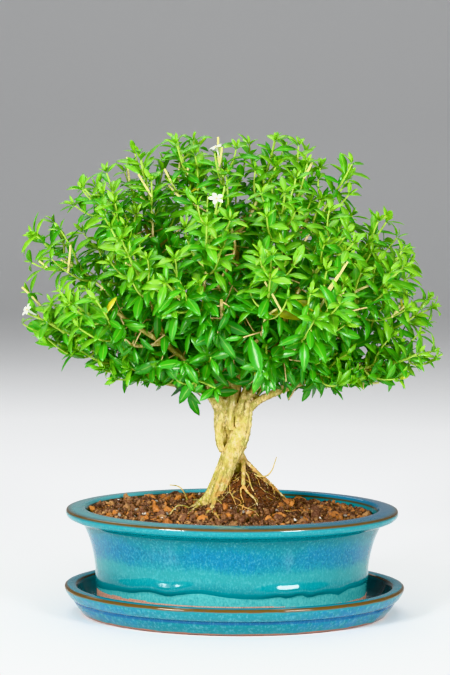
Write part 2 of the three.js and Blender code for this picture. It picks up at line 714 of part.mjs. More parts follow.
const grownSprays = sprays.map((spray) => {
  let grown = null;
  for (let attempt = 0; attempt < sprayAttempts && !grown; attempt++) {
    const tried = spraySolid(spray);
    if (tried && isClear(tried.solid, standing)) grown = tried;
  }
  if (!grown) throw new Error(`no room for spray ${spray.index + 1}`);
  standing.push(boxed(grown.solid));
  addMesh(`leafy_spray_${String(spray.index + 1).padStart(2, '0')}`, atPot(grown.solid), 0x3d9a1e, 0.45);
  return grown;
});

flowerPlaces.forEach((place, index) => {
  const nearest = grownSprays.reduce((a, b) => (b.end.distanceTo(place) < a.end.distanceTo(place) ? b : a));
  const foot = nearest.end.clone().addScaledVector(nearest.axis, 2 * shootRadius + gap);
  const solid = flowerSolid(foot, nearest.axis, seeded(flowerSeed + index));
  if (!isClear(solid, standing)) throw new Error(`no room for flower ${index + 1}`);
  standing.push(boxed(solid));
  addMesh(`flower_${index + 1}`, atPot(solid), 0xf4f3f6, 0.6);
});

export default bonsai;
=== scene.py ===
"""A serissa bonsai in its oval glazed pot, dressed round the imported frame. Everything is in metres in the
frame's own coordinates; lengths in the lists below are in millimetres, from the pot's centre line."""

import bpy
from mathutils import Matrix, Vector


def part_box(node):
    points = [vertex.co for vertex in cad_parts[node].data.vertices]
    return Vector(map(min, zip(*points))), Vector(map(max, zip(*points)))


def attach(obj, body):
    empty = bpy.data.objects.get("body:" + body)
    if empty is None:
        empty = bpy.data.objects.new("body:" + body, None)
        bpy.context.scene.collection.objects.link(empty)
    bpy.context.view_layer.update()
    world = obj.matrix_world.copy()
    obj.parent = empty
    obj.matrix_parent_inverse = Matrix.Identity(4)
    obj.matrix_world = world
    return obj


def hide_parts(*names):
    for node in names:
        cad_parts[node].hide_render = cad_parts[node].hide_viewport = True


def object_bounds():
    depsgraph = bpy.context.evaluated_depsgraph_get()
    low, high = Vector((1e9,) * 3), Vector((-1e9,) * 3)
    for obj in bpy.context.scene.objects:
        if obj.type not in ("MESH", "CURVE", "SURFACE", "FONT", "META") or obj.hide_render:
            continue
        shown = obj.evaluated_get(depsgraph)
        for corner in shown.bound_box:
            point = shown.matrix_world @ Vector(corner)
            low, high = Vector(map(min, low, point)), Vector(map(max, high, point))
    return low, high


bl_info = {
    "name": "Serissa bonsai",
    "version": (1, 0, 0),
    "blender": (4, 5, 0),
    "location": "3D View > Sidebar > Bonsai",
    "description": "Models a serissa bonsai with its oval pot and saucer round a fixed frame",
    "category": "Add Mesh",
}

import math

import bmesh
import bpy
import numpy as np
from bpy.props import FloatProperty, FloatVectorProperty, IntProperty, PointerProperty
from mathutils import Vector, noise
from mathutils.kdtree import KDTree

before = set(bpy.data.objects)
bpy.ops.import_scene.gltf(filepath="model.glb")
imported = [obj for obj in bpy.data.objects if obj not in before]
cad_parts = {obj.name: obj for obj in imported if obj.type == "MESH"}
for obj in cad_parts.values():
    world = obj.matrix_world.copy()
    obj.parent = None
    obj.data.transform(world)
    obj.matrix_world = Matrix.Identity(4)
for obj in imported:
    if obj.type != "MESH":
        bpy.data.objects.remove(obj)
CAD_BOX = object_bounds()
MM = 0.001

# ---- the frame's sizes ----

POT_LOW, POT_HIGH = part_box("pot")
POT_X = (POT_LOW.x + POT_HIGH.x) / 2  # the tree, the soil and the pot share this centre line
SPRAY_NODES = sorted(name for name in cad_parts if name.startswith("leafy_spray_"))
FLOWER_NODES = sorted(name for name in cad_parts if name.startswith("flower_"))

SAUCER_NARROWING = 25.2  # how much shorter the half width is than the half length
POT_NARROWING = 22.3  # the same of the pot
OVAL_CORE = 60  # inside this half length the width shrinks in proportion
SOIL_EDGE_Z = 69.2
CONE_X, CONE_Y = 10, 4  # the middle of the root cone

# ---- the tree's routes: points [x, y, z] and radii that lie evenly spaced along them ----

TRUNK_STEMS = [
    # stout stem: from the left foot, across the front, to the bulge at the upper right
    ([8.4, 6.8, 6.6, 6.4, 6.6, 6.4, 5.4, 4.2],
     [(-17, -3, 62), (-13.5, -4, 78), (-8, -5, 92), (-3, -5, 106), (3, -4, 118), (6.5, -2, 130),
      (8.5, 0, 144), (11, 0, 154)]),
    # second stem: up out of the root cone, behind the waist, to the upper left
    ([5.6, 5.2, 5, 4.8, 4.6, 4.6, 3.6],
     [(12, 5, 84), (7, 6, 98), (-1, 5, 110), (-6.5, 3, 121), (-8.5, 0, 132), (-8, -1, 144),
      (-10, -1, 153)]),
    # third stem: between the two, up the middle
    ([4.6, 5.6, 5.8, 5.2, 4.4, 3.6],
     [(4, 4, 104), (2, 5, 118), (-1, 1, 130), (-1, -1, 142), (-1, 0, 156), (-2, 0, 170)]),
]

# Sinews that stand proud of the stems' bark
SINEWS = [
    ([2.0, 2.5, 2.7, 2.6, 2.0], [(-7.2, -6, 113), (-9.2, -5.2, 121), (-9.3, -4.6, 130), (-7, -4.6, 139),
                                 (-5.2, -3.2, 149)]),
    ([1.6, 2.4, 2.6, 2.2, 1.6], [(3.4, -8.6, 114), (6.6, -7, 122), (8.6, -5.6, 131), (9.6, -4.2, 139),
                                 (9.4, -3, 148)]),
    ([1.8, 2.4, 2.2, 1.8], [(-1.6, -6.4, 128), (-1.4, -6, 138), (-0.6, -5, 148), (-0.2, -4, 160)]),
    ([1.6, 2.2, 2.2, 1.7], [(3.4, -6.4, 134), (4.6, -5.8, 142), (6.4, -4.2, 150), (9, -3.6, 158)]),
    ([1.8, 2.2, 2.0, 1.6], [(-16, -9.4, 70), (-12.6, -10, 84), (-7.6, -10.4, 98), (-2.4, -10, 111)]),
    ([2.6, 2.2, 1.8, 1.5], [(-24.5, -6, 66), (-20.6, -6.6, 76), (-15.4, -7, 88), (-10.4, -7.4, 101)]),
    ([2.0, 2.4, 2.2, 1.8], [(-4.6, 6.6, 112), (-9, 4.6, 124), (-10, 3.4, 136), (-9.4, 2, 148)]),
    ([2.0, 2.6, 2.4, 1.8], [(1, 9.4, 112), (4.4, 8, 124), (5.4, 5.6, 136), (4, 3.6, 150)]),
]

EXPOSED_ROOTS = [
    ([1.8, 0.8], [(4, 3, 110), (12, 4, 100), (24, 3, 88), (38, 2, 75), (50, 0, 66)]),
    ([2.6, 0.9], [(6, 6, 108), (15, 15, 94), (23, 26, 79), (32, 36, 68)]),
    ([2.6, 0.9], [(2, 8, 104), (3, 20, 89), (0, 31, 74), (-4, 39, 66)]),
    ([2.4, 0.9], [(-14, 0, 86), (-16, 10, 78), (-22, 24, 70), (-28, 33, 65)]),
    ([2.8, 0.9], [(-15, -4, 84), (-22, -6, 77.6), (-30, -9, 72.4), (-38, -13, 67)]),
    ([2.4, 0.8], [(-12, -8, 82), (-13, -16, 76), (-20, -26, 70), (-24, -36, 66)]),
]

LIMBS = [
    ([4, 1.7], [(-9, -1, 140), (-17, -2, 153), (-36, -6, 176), (-60, -10, 187), (-88, -12, 197),
                (-108, -12, 210)]),
    ([3.6, 1.6], [(8, -1, 138), (19, -4, 149), (46, -9, 161), (70, -12, 169), (96, -14, 171),
                  (114, -14, 178)]),
    ([3.6, 1.6], [(9, 0, 142), (15, 1, 156), (36, 3, 172), (62, 5, 196), (84, 4, 226)]),
    ([3.6, 1.6], [(-3, 0, 150), (-7, -1, 166), (-6, -6, 196), (-13, -6, 244), (-12, -4, 276)]),
    ([3.6, 1.6], [(2, 0, 150), (5, 1, 166), (14, 4, 200), (34, 5, 242), (52, 4, 276)]),
    ([3.4, 1.6], [(-6, 0, 148), (-16, 0, 172), (-38, 2, 206), (-54, 2, 250), (-62, 0, 270)]),
    ([3.2, 1.5], [(0, -2, 146), (-2, -14, 166), (-5, -38, 188), (-7, -66, 206), (-8, -80, 222)]),
    ([3.2, 1.5], [(2, 3, 146), (5, 16, 166), (8, 40, 190), (10, 68, 206), (10, 84, 222)]),
    ([3, 1.5], [(7, -1, 146), (22, -16, 166), (42, -36, 186), (62, -54, 202), (76, -64, 214)]),
    ([3, 1.5], [(7, 2, 146), (23, 17, 166), (44, 36, 186), (64, 54, 202), (78, 66, 214)]),
    ([3, 1.5], [(-7, -1, 146), (-22, -16, 166), (-42, -34, 186), (-64, -52, 202), (-80, -60, 214)]),
    ([3, 1.5], [(-7, 2, 146), (-22, 18, 168), (-40, 38, 188), (-60, 56, 204), (-76, 66, 216)]),
    ([3.2, 1.5], [(0, 2, 150), (2, 12, 176), (4, 26, 214), (2, 40, 256), (0, 46, 274)]),
]

LIMB_SLIMNESS = 0.78  # the limbs' wood is a little slimmer than their solids
LIMB_FOOT = 0.34  # the share of a limb that grows together with the trunk
LIMB_START = 0.2  # the share of it at which its own piece starts, inside its foot
FOOT_FULLNESS = 1.04  # a foot is a little thicker than the limb that starts in it
LYING_ROOTS = 26  # thin roots that lie on the cone
FINE_ROOT = 0.8  # bare roots thinner than this stay round, on their own piece

# Roots that lie bare on the earth of the root cone
SURFACE_ROOTS = [
    ([2.1, 1.2], [(6.5, 1, 106), (7.8, -2.5, 99.8), (7.7, -9.3, 94), (7.9, -13.8, 90)]),
    ([1.0, 0.5], [(7.9, -13.8, 90), (5.9, -14.9, 88.4), (6.2, -19.4, 84.6), (7.9, -24.3, 80.6),
                  (6.6, -28.9, 76)]),
    ([1.1, 0.6], [(8, -14.1, 89.6), (11.7, -18.9, 85.4), (15.4, -21.9, 82.2), (18.7, -27.4, 76.2)]),
    ([0.7, 0.4], [(9.4, -4, 98), (11, -6.9, 96), (13.1, -13.6, 89.8), (15.8, -17.4, 85)]),
    ([1.9, 1.2, 0.8], [(6, 3, 109), (9.5, 3.2, 104.8), (15.5, -0.1, 99.2), (20, -0.4, 95.2),
                       (25.3, 2.5, 90.8), (32, 3, 84), (40, 3, 76.6)]),
    ([0.9, 0.5], [(22, 0, 93.4), (23, -1.7, 91.8), (27.6, -0.5, 88), (29, -7.4, 84)]),
    ([0.6, 0.35], [(-13, -9, 77.2), (-12.8, -11.1, 79.7), (-9, -16.1, 80.1), (-6.4, -20.9, 77.8)]),
    ([0.7, 0.4], [(-22, -4, 76.6), (-19.5, -6, 75.8), (-15.7, -16.5, 74.2)]),
    ([0.45, 0.3], [(-2.4, 2, 95), (-2.1, 1.3, 93.6), (-1.7, -7.5, 90.4), (-1.8, -13.1, 86.3)]),
    ([0.4, 0.25], [(-2.5, -1.6, 92.4), (1.3, -4.3, 94.5), (4.3, -7.4, 94)]),
    ([0.45, 0.3], [(-1.6, -14.1, 86), (0.6, -19.3, 83), (2.4, -24, 79)]),
    ([0.6, 0.35], [(20, -24, 77.6), (22.1, -26.9, 76), (25, -27.2, 74)]),
    ([0.7, 0.4], [(31, 2, 84.6), (34.4, 1.8, 81.8), (37.4, -1.5, 77.8)]),
    ([1.3, 0.8], [(-18, -5, 80), (-22, -6, 77.4), (-26, -7, 74.6), (-29, -8, 71.6)]),
]

# Hair roots that have come free of the earth
FREE_ROOTS = [
    ([0.7, 0.3], [(14, -2, 97), (19, -4, 95.6), (24, -5, 96.4), (27.4, -5, 100.4), (29, -5, 105),
                  (30.4, -5, 109.4)]),
    ([0.7, 0.35], [(-30, 22, 68), (-32, 23, 76), (-35, 24, 81.6), (-38.6, 25, 84.2), (-44, 26, 84.8)]),
    ([0.6, 0.3], [(-27, -14, 71), (-31, -16, 76), (-37, -18, 77), (-41, -20, 73.6), (-43, -21, 70)]),
    ([0.5, 0.25], [(31, -18, 77.2), (36, -19, 74.4), (41, -19, 73.6), (45, -18, 71)]),
    ([0.5, 0.25], [(5, -25, 79), (10, -29, 77.4), (15, -30, 75.8), (18, -31, 72.4)]),
]

# Sprays that stand out of the crown's outline, by the point their tips reach
OUTLINE_TIPS = [
    (-144, -8, 206), (-136, -4, 256), (-130, 6, 194), (-104, 2, 292), (-68, -6, 318), (-38, 2, 334),
    (-10, -8, 324), (28, 0, 335), (52, 6, 318), (80, 2, 305), (108, -4, 270), (118, 4, 250),
    (137, 2, 210), (136, -26, 182), (108, -14, 154), (-88, -16, 158), (-14, -86, 288),
]

# How low the leaves hang: [x, z] from left to right
HANG_LINE = [
    (-149, 199), (-134, 191), (-120, 187), (-106, 178), (-92, 167), (-79, 160), (-58, 162), (-37, 159),
    (-20, 156), (19, 156), (52, 158), (70, 158), (87, 162), (107, 162), (125, 166), (136, 172), (143, 186),
]

# Stubs of pruned shoots on the front of the crown: [x, z] of the base and of the cut end
PRUNED_STUBS = [
    ((36, 210), (25, 229)), ((64, 214), (74, 226)), ((61, 226), (70, 239)), ((112, 208), (121, 216)),
    ((112, 214), (117, 222)), ((-10, 303), (-11, 326)), ((-66, 295), (-68, 315)), ((-44, 291), (-53, 306)),
    ((45, 207), (68, 247)), ((-24, 315), (-37, 323)), ((-33, 288), (-44, 308)), ((-122, 211), (-134, 225)),
    ((-130, 222), (-142, 234)), ((-119, 225), (-117, 244)),
]
CROWN_HEART = np.array([-2.0, 0.0, 185.0])
# The dome of the crown: its centre, its half length and depth, and how far it goes up and down from there
CROWN = {"x": -2, "y": 0, "z": 192, "half_length": 134, "half_depth": 112, "rise": 134, "sink": 36}
OUTER_SPRAYS = 37  # sprays on the outline and on the dome
LOW_SPRAYS = 9
DOME_PLACES = 56  # places tried on the dome, in a golden spiral
DOME_LOWEST = -0.35  # height at which the spiral ends, as a share of the dome's
TIP_SPACING = 40  # least distance between two tips on the dome
SPRAY_LENGTH = 52
LEAF_REACH = 11  # how far leaves stand out past a spray's tip
LOW_ROWS = [(158, 0.35), (182, 0.1)]  # lowest tip and dip of each row of low sprays
LOW_SHARE = 0.72  # length of the low sprays, by that of the others
# How far the shoots reach on past the planned tips
TIP_STRETCH = {"second": 15, "outline": 10, "rest": 4}
GOLDEN_ANGLE = math.pi * (3 - math.sqrt(5))
UP = np.array([0.0, 0.0, 1.0])

# Seeds of the random draws
TIP_SEED = 7
SPRAY_SEED = 100
GROWTH_SEED = 500
GRANULE_SEED = 41
ROOT_SEED = 83
STUB_SEED = 61
FLOWER_SEED = 300

# ---- helpers: numbers and curves ----

WORD = 0xFFFFFFFF


def seeded(seed):
    """Repeatable random numbers from 0 to 1 (mulberry32)"""
    state = seed & WORD

    def draw():
        nonlocal state
        state = (state + 0x6D2B79F5) & WORD
        mixed = ((state ^ (state >> 15)) * (state | 1)) & WORD
        mixed ^= (mixed + (((mixed ^ (mixed >> 7)) * (mixed | 61)) & WORD)) & WORD
        return ((mixed ^ (mixed >> 14)) & WORD) / (WORD + 1)

    return draw


def varied(random, low, high):
    return low + (high - low) * random()


def stray(random, amount):
    """A random step of up to half the amount along each axis"""
    return np.array([random() - 0.5, random() - 0.5, random() - 0.5]) * amount


def unit(vector):
    vector = np.asarray(vector, float)
    return vector / max(np.linalg.norm(vector), 1e-9)


def smooth_step(low, high, value):
    share = np.clip((value - low) / (high - low), 0, 1)
    return share * share * (3 - 2 * share)


def on_spline(points, t):
    """A point on the smooth curve through the points, at a share t of its spans"""
    points = np.asarray(points, float)
    place = t * (len(points) - 1)
    span = min(int(place), len(points) - 2)
    u = place - span
    start, end = points[span], points[span + 1]
    before = points[span - 1] if span > 0 else 2 * start - end
    after = points[span + 2] if span + 2 < len(points) else 2 * end - start
    leave, arrive = (end - before) / 2, (after - start) / 2
    return (start + u * leave + u * u * (3 * (end - start) - 2 * leave - arrive)
            + u ** 3 * (2 * (start - end) + leave + arrive))


def spline(points, low=0.0):
    """The smooth curve through the points, from this share of it on"""
    return lambda t: on_spline(points, low + (1 - low) * t)


def heading_at(curve, t):
    """Direction of a curve, given as a function of t"""
    small = 0.0001
    return unit(curve(min(t + small, 1)) - curve(max(t - small, 0)))


def bezier(*points):
    """A curve on three or four control points"""
    points = [np.asarray(point, float) for point in points]
    degree = len(points) - 1

    def at(t):
        return sum(math.comb(degree, i) * (1 - t) ** (degree - i) * t ** i * point
                   for i, point in enumerate(points))

    return at


def along(radii, t):
    """Radius between the values of a list, evenly spaced along a stem"""
    return float(np.interp(t * (len(radii) - 1), range(len(radii)), radii))


def length_of(curve, steps=16):
    points = np.array([curve(i / steps) for i in range(steps + 1)])
    return float(np.linalg.norm(np.diff(points, axis=0), axis=1).sum())


def sampled(curve, radii, spacing, random, knots):
    """A route of points and radii along a curve, a little thicker here and there like a knotty twig"""
    count = max(3, round(length_of(curve) / spacing))
    shares = [i / count for i in range(count + 1)]
    uneven = [1 + knots * (2 * random() - 1) for _ in shares]
    return [curve(t) for t in shares], [along(radii, t) * k for t, k in zip(shares, uneven)]


def routed(lists, spacing, random, knots):
    """Routes along lists of radii and points"""
    return [sampled(spline(points), radii, spacing, random, knots) for radii, points in lists]


# ---- helpers: modelling ----

def length_property(name, description, millimetres):
    """A length that the user can change in the sidebar"""
    return FloatProperty(name=name, description=description, default=millimetres * MM, min=0, max=1,
                         unit="LENGTH")



def deselect():
    if bpy.context.mode != "OBJECT":
        bpy.ops.object.mode_set(mode="OBJECT")
    bpy.ops.object.select_all(action="DESELECT")


def pick(*pieces):
    """Select only these pieces; the first is the active one"""
    deselect()
    for piece in pieces:
        piece.select_set(True)
    bpy.context.view_layer.objects.active = pieces[0]
    return pieces[0]


def settle(piece, name):
    """Name a new primitive and put its place into its mesh"""
    pick(piece)
    bpy.ops.object.transform_apply(location=True, rotation=True, scale=True)
    piece.name = name
    piece.data.name = name
    return piece


def edit(piece):
    pick(piece)
    bpy.ops.object.mode_set(mode="EDIT")
    bpy.ops.mesh.select_mode(type="VERT")
    bpy.ops.mesh.select_all(action="DESELECT")


def select_where(test):
    """In edit mode, select only the vertices whose place passes the test"""
    data = bpy.context.edit_object.data
    form = bmesh.from_edit_mesh(data)
    for vertex in form.verts:
        vertex.select = bool(test(vertex.co))
    form.select_flush_mode()
    bmesh.update_edit_mesh(data)


def close_up(piece, merge=0.00001):
    """Merge doubles and turn every face outwards"""
    edit(piece)
    bpy.ops.mesh.select_all(action="SELECT")
    bpy.ops.mesh.remove_doubles(threshold=merge)
    bpy.ops.mesh.normals_make_consistent(inside=False)
    deselect()


def apply_modifier(piece, kind, **settings):
    pick(piece)
    modifier = piece.modifiers.new(kind.title(), kind)
    for name, value in settings.items():
        setattr(modifier, name, value)
    bpy.ops.object.modifier_apply(modifier=modifier.name)


def join(name, pieces):
    whole = pick(*pieces)
    if len(pieces) > 1:
        bpy.ops.object.join()
    whole.name = name
    whole.data.name = name
    return whole


def vertices_of(mesh, field="co"):
    """The place of each vertex, or its normal"""
    values = np.empty(len(mesh.vertices) * 3, np.float32)
    mesh.vertices.foreach_get(field, values)
    return values.reshape(-1, 3).astype(float)


def move_vertices(mesh, places):
    mesh.vertices.foreach_set("co", np.asarray(places, np.float32).ravel())
    mesh.update()


def mark(mesh, name, values):
    """Store a number for each vertex, or the same one for all, under a name that materials read"""
    values = np.broadcast_to(np.asarray(values, np.float32), len(mesh.vertices))
    mesh.attributes.new(name, "FLOAT", "POINT").data.foreach_set("value", np.ascontiguousarray(values))


def dress(piece, materials, replaces=()):
    """Give a finished piece its materials and its body, and hide the solids it stands for"""
    piece.data.materials.clear()
    for material in materials:
        piece.data.materials.append(material)
    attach(piece, "root")
    if replaces:
        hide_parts(*replaces)
    return piece


def shade(piece, degrees):
    pick(piece)
    bpy.ops.object.shade_smooth_by_angle(angle=math.radians(degrees))


def stems(name, routes, fineness=2):
    """Closed round stems, one for each route of points and radii in millimetres, on one bevelled curve"""
    deselect()
    bpy.ops.curve.primitive_bezier_curve_add(location=(0, 0, 0))
    piece = bpy.context.object
    curve = piece.data
    curve.splines.clear()
    curve.dimensions = "3D"
    curve.bevel_depth = MM
    curve.bevel_resolution = fineness
    curve.use_fill_caps = True
    for points, radii in routes:
        spline = curve.splines.new("POLY")
        spline.points.add(len(points) - 1)
        for target, point, radius in zip(spline.points, points, radii):
            target.co = (point[0] * MM + POT_X, point[1] * MM, point[2] * MM, 1)
            target.radius = radius
    pick(piece)
    bpy.ops.object.convert(target="MESH")
    settle(piece, name)
    close_up(piece)
    shade(piece, 60)
    return piece


def oval_width(half_length, narrowing):
    if half_length > OVAL_CORE:
        return half_length - narrowing
    return half_length * (OVAL_CORE - narrowing) / OVAL_CORE


def rounded(profile, rounds=2):
    """Cut the corners of a profile, as clay has none sharp"""
    for _ in range(rounds):
        cut = [profile[0]]
        for (a0, z0), (a1, z1) in zip(profile, profile[1:]):
            cut.append((0.75 * a0 + 0.25 * a1, 0.75 * z0 + 0.25 * z1))
            cut.append((0.25 * a0 + 0.75 * a1, 0.25 * z0 + 0.75 * z1))
        profile = cut + [profile[-1]]
    return profile


def finer(profile, low, high, step):
    """Split the stretches of a profile that lie between two heights and are longer than the step"""
    split = [profile[0]]
    for (a0, z0), (a1, z1) in zip(profile, profile[1:]):
        count = 1
        if low <= min(z0, z1) and max(z0, z1) <= high:
            count = max(1, math.ceil(math.hypot(a1 - a0, z1 - z0) / step))
        split += [(a0 + (a1 - a0) * i / count, z0 + (z1 - z0) * i / count) for i in range(1, count + 1)]
    return split


def turn_oval(name, profile, narrowing, centre_x, segments):
    """Raise an oval piece ring by ring, as on a wheel: a filled circle is extruded and resized along the
    profile of half lengths and heights. The vertices lie ring after ring."""
    deselect()
    bpy.ops.mesh.primitive_circle_add(vertices=segments, radius=1, fill_type="NGON",
                                      location=(0, 0, profile[0][1] * MM))
    piece = settle(bpy.context.object, name)
    edit(piece)
    bpy.ops.mesh.select_all(action="SELECT")
    wide, deep, height = 1.0, 1.0, profile[0][1] * MM
    for order, (a, z) in enumerate(profile):
        if order:
            bpy.ops.mesh.extrude_region_move(TRANSFORM_OT_translate={"value": (0, 0, z * MM - height)})
        new_wide, new_deep, height = a * MM, oval_width(a, narrowing) * MM, z * MM
        bpy.ops.transform.resize(value=(new_wide / wide, new_deep / deep, 1), center_override=(0, 0, height))
        wide, deep = new_wide, new_deep
    bpy.ops.mesh.select_all(action="SELECT")
    bpy.ops.transform.translate(value=(centre_x, 0, 0))
    bpy.ops.mesh.normals_make_consistent(inside=False)
    deselect()
    return piece


def template_of(piece):
    """A piece's mesh as arrays, for copies; the piece itself is removed"""
    mesh = piece.data
    corners = np.array([loop.vertex_index for loop in mesh.loops])
    starts = np.array([polygon.loop_start for polygon in mesh.polygons])
    slots = np.array([polygon.material_index for polygon in mesh.polygons])
    uvs = np.zeros(len(corners) * 2, np.float32)
    if mesh.uv_layers.active:
        mesh.uv_layers.active.data.foreach_get("uv", uvs)
    template = {"places": vertices_of(mesh), "corners": corners, "starts": starts, "slots": slots,
                "uvs": uvs.reshape(-1, 2)}
    bpy.data.objects.remove(piece)
    return template


def copies(name, sown):
    """One mesh of many copies: sown is a list of (template, matrix, place, tone), in metres"""
    rows = {key: [] for key in ("places", "corners", "starts", "slots", "uvs", "tones")}
    vertex_count = corner_count = 0
    for template, matrix, place, tone in sown:
        rows["places"].append(template["places"] @ np.asarray(matrix).T + place)
        rows["corners"].append(template["corners"] + vertex_count)
        rows["starts"].append(template["starts"] + corner_count)
        rows["slots"].append(template["slots"])
        rows["uvs"].append(template["uvs"])
        rows["tones"].append(np.full(len(template["places"]), tone))
        vertex_count += len(template["places"])
        corner_count += len(template["corners"])
    rows = {key: np.concatenate(parts) for key, parts in rows.items()}
    mesh = bpy.data.meshes.new(name)
    mesh.vertices.add(vertex_count)
    mesh.vertices.foreach_set("co", rows["places"].astype(np.float32).ravel())
    mesh.loops.add(corner_count)
    mesh.loops.foreach_set("vertex_index", rows["corners"].astype(np.int32))
    mesh.polygons.add(len(rows["starts"]))
    mesh.polygons.foreach_set("loop_start", rows["starts"].astype(np.int32))
    mesh.polygons.foreach_set("material_index", rows["slots"].astype(np.int32))
    mesh.update(calc_edges=True)
    mesh.uv_layers.new(name="UVMap").data.foreach_set("uv", rows["uvs"].astype(np.float32).ravel())
    mark(mesh, "tone", rows["tones"])
    mesh.polygons.foreach_set("use_smooth", np.ones(len(rows["starts"]), bool))
    mesh.validate()
    piece = bpy.data.objects.new(name, mesh)
    bpy.context.scene.collection.objects.link(piece)
    return piece


# ---- materials ----

def linear(code):
    """A colour written as sRGB hex, as the linear values that shaders take"""
    channels = [int(code[i:i + 2], 16) / 255 for i in (1, 3, 5)]
    return tuple(c / 12.92 if c <= 0.04045 else ((c + 0.055) / 1.055) ** 2.4 for c in channels) + (1.0,)


def add_node(material, kind, settings=None, sockets=None, output=0, stops=()):
    """Add a node and return one of its outputs. A socket takes a value, or a link from another node's
    output; stops are the places and colours of a ramp"""
    node = material.node_tree.nodes.new("ShaderNode" + kind)
    for name, value in (settings or {}).items():
        setattr(node, name, value)
    for name, value in (sockets or {}).items():
        if isinstance(value, bpy.types.NodeSocket):
            material.node_tree.links.new(value, node.inputs[name])
        else:
            node.inputs[name].default_value = value
    if stops:
        elements = node.color_ramp.elements
        elements.remove(elements[-1])
        for order, (place, colour) in enumerate(stops):
            element = elements.new(place) if order else elements[0]
            element.position = place
            element.color = linear(colour) if isinstance(colour, str) else (colour, colour, colour, 1)
    return node.outputs[output] if node.outputs else None


def new_material(name, *attributes):
    """A new material, and the outputs with the numbers stored on its pieces that it reads"""
    material = bpy.data.materials.new(name)
    material.use_nodes = True
    material.node_tree.nodes.clear()
    return material, *(add_node(material, "Attribute", {"attribute_name": attribute}, output="Fac")
                       for attribute in attributes)


def along_axis(material, axis):
    """How far a place lies along an axis, in metres"""
    where = add_node(material, "TexCoord", output="Object")
    return add_node(material, "SeparateXYZ", sockets={0: where}, output=axis)


def pattern(material, size, detail=3.0, roughness=0.5, flatness=1.0):
    """An uneven pattern with patches of about this many millimetres, drawn out along Z where its
    flatness is less than 1"""
    where = add_node(material, "TexCoord", output="Object")
    if flatness != 1:
        where = add_node(material, "Mapping", sockets={"Vector": where, "Scale": (1, 1, flatness)})
    return add_node(material, "TexNoise", sockets={
        "Vector": where, "Scale": 1 / (size * MM), "Detail": detail, "Roughness": roughness})


def strength(material, *masks):
    """How strongly a layer shows: the product of its masks. A mask is a number, an output, or an output
    with the two values between which it swells, from 0 to 1 unless two more numbers say otherwise"""
    total = None
    for mask in masks:
        if isinstance(mask, tuple):
            value, low, high, least, most = (*mask, 0.0, 1.0)[:5]
            mask = add_node(material, "MapRange", {"interpolation_type": "SMOOTHSTEP"}, {
                "Value": value, "From Min": low, "From Max": high, "To Min": least, "To Max": most})
        total = mask if total is None else add_node(
            material, "Math", {"operation": "MULTIPLY"}, {0: total, 1: mask})
    return total


def paint(material, under, over, *masks):
    """Lay a colour over another, as strongly as its masks say"""
    over = linear(over) if isinstance(over, str) else over
    return add_node(material, "Mix", {"data_type": "RGBA"}, {
        0: strength(material, *masks), 6: under, 7: over}, output=2)


def swayed(material, value, sways, *masks):
    """A value that patterns move up and down: sways are (pattern, how far it moves in all)"""
    for swing, reach in sways:
        centred = add_node(material, "Math", {"operation": "SUBTRACT"}, {0: swing, 1: 0.5})
        value = add_node(material, "Math", {"operation": "MULTIPLY_ADD"}, {
            0: centred, 1: strength(material, *masks, reach), 2: value})
    return value


def banded(material, run, bands, blend):
    """Glaze colour by how far up it lies: bands are (run from which it starts, colour)"""
    top = bands[-1][0] + 10
    stops = []
    for order, (start, colour) in enumerate(bands):
        stops.append(((start + blend / 2) / top if order else 0, colour))
        if order + 1 < len(bands):
            stops.append(((bands[order + 1][0] - blend / 2) / top, colour))
    share = add_node(material, "Math", {"operation": "DIVIDE"}, {0: run, 1: top})
    return add_node(material, "ValToRGB", sockets={0: share}, stops=stops)


def patches_along(material, length, patches):
    """How strong the cobalt is between one end of an oval piece, this many millimetres long, and the other"""
    share = add_node(material, "Math", {"operation": "MULTIPLY_ADD"}, {
        0: along_axis(material, "X"), 1: 1 / (length * MM), 2: 0.5})
    return add_node(material, "ValToRGB", sockets={0: share}, stops=patches)


def finish(material, colour, gloss, relief=None, glow=None):
    """Close a material: its colour and gloss on one shader, its fine relief as (pattern, depth in
    millimetres, strength), and the light that shines through it as (colour, share)"""
    if relief:
        height, depth, amount = relief
        gloss = gloss | {"Normal": add_node(material, "Bump", sockets={
            "Height": height, "Distance": depth * MM, "Strength": amount})}
    shader = add_node(material, "BsdfPrincipled", sockets={"Base Color": colour, **gloss})
    if glow:
        shining = add_node(material, "BsdfTranslucent", sockets={"Color": glow[0]})
        shader = add_node(material, "MixShader", sockets={0: glow[1], 1: shader, 2: shining})
    add_node(material, "OutputMaterial", sockets={"Surface": shader})
    return material


# Glaze colours by height on the outside, then on over the lip and down the inside, in millimetres
# the band from 59 mm up to the lip's face is darker with painted shade under the lip
POT_BANDS = [
    (0, "#006e75"), (26.8, "#00777f"), (32.0, "#248489"), (41.5, "#077786"), (45.5, "#006d86"),
    (53.5, "#00717f"), (59.0, "#036a74"), (65.4, "#1a7f88"), (71.6, "#5c4522"), (73.3, "#2c7f8c"),
    (84.0, "#4a4022"), (85.6, "#0a7178"),
]
POT_WALL_BANDS = POT_BANDS[:8]
# the inside, from a run of 28.6 mm on, is darkened with a painted dark reflection
SAUCER_BANDS = [
    (0, "#9a5f48"), (1.7, "#0a757c"), (9.0, "#124a72"), (10.9, "#207d86"), (18.2, "#5e4722"),
    (20.9, "#2b8090"), (27.0, "#4a3a20"), (28.6, "#0a484e"),
]

# Strength of the cobalt, by the share of the length from the left end to the right end
POT_COBALT = [(0.05, 0.6), (0.17, 1.0), (0.26, 0.2), (0.32, 0.0), (0.38, 0.7), (0.52, 0.9), (0.61, 0.5),
              (0.66, 0.1), (0.74, 1.0), (0.84, 1.0), (0.9, 0.3)]
SAUCER_COBALT = [(0.02, 0.3), (0.1, 0.9), (0.2, 0.6), (0.3, 0.15), (0.6, 0.1), (0.7, 0.6), (0.82, 1.0),
                 (0.93, 0.8), (0.98, 0.3)]

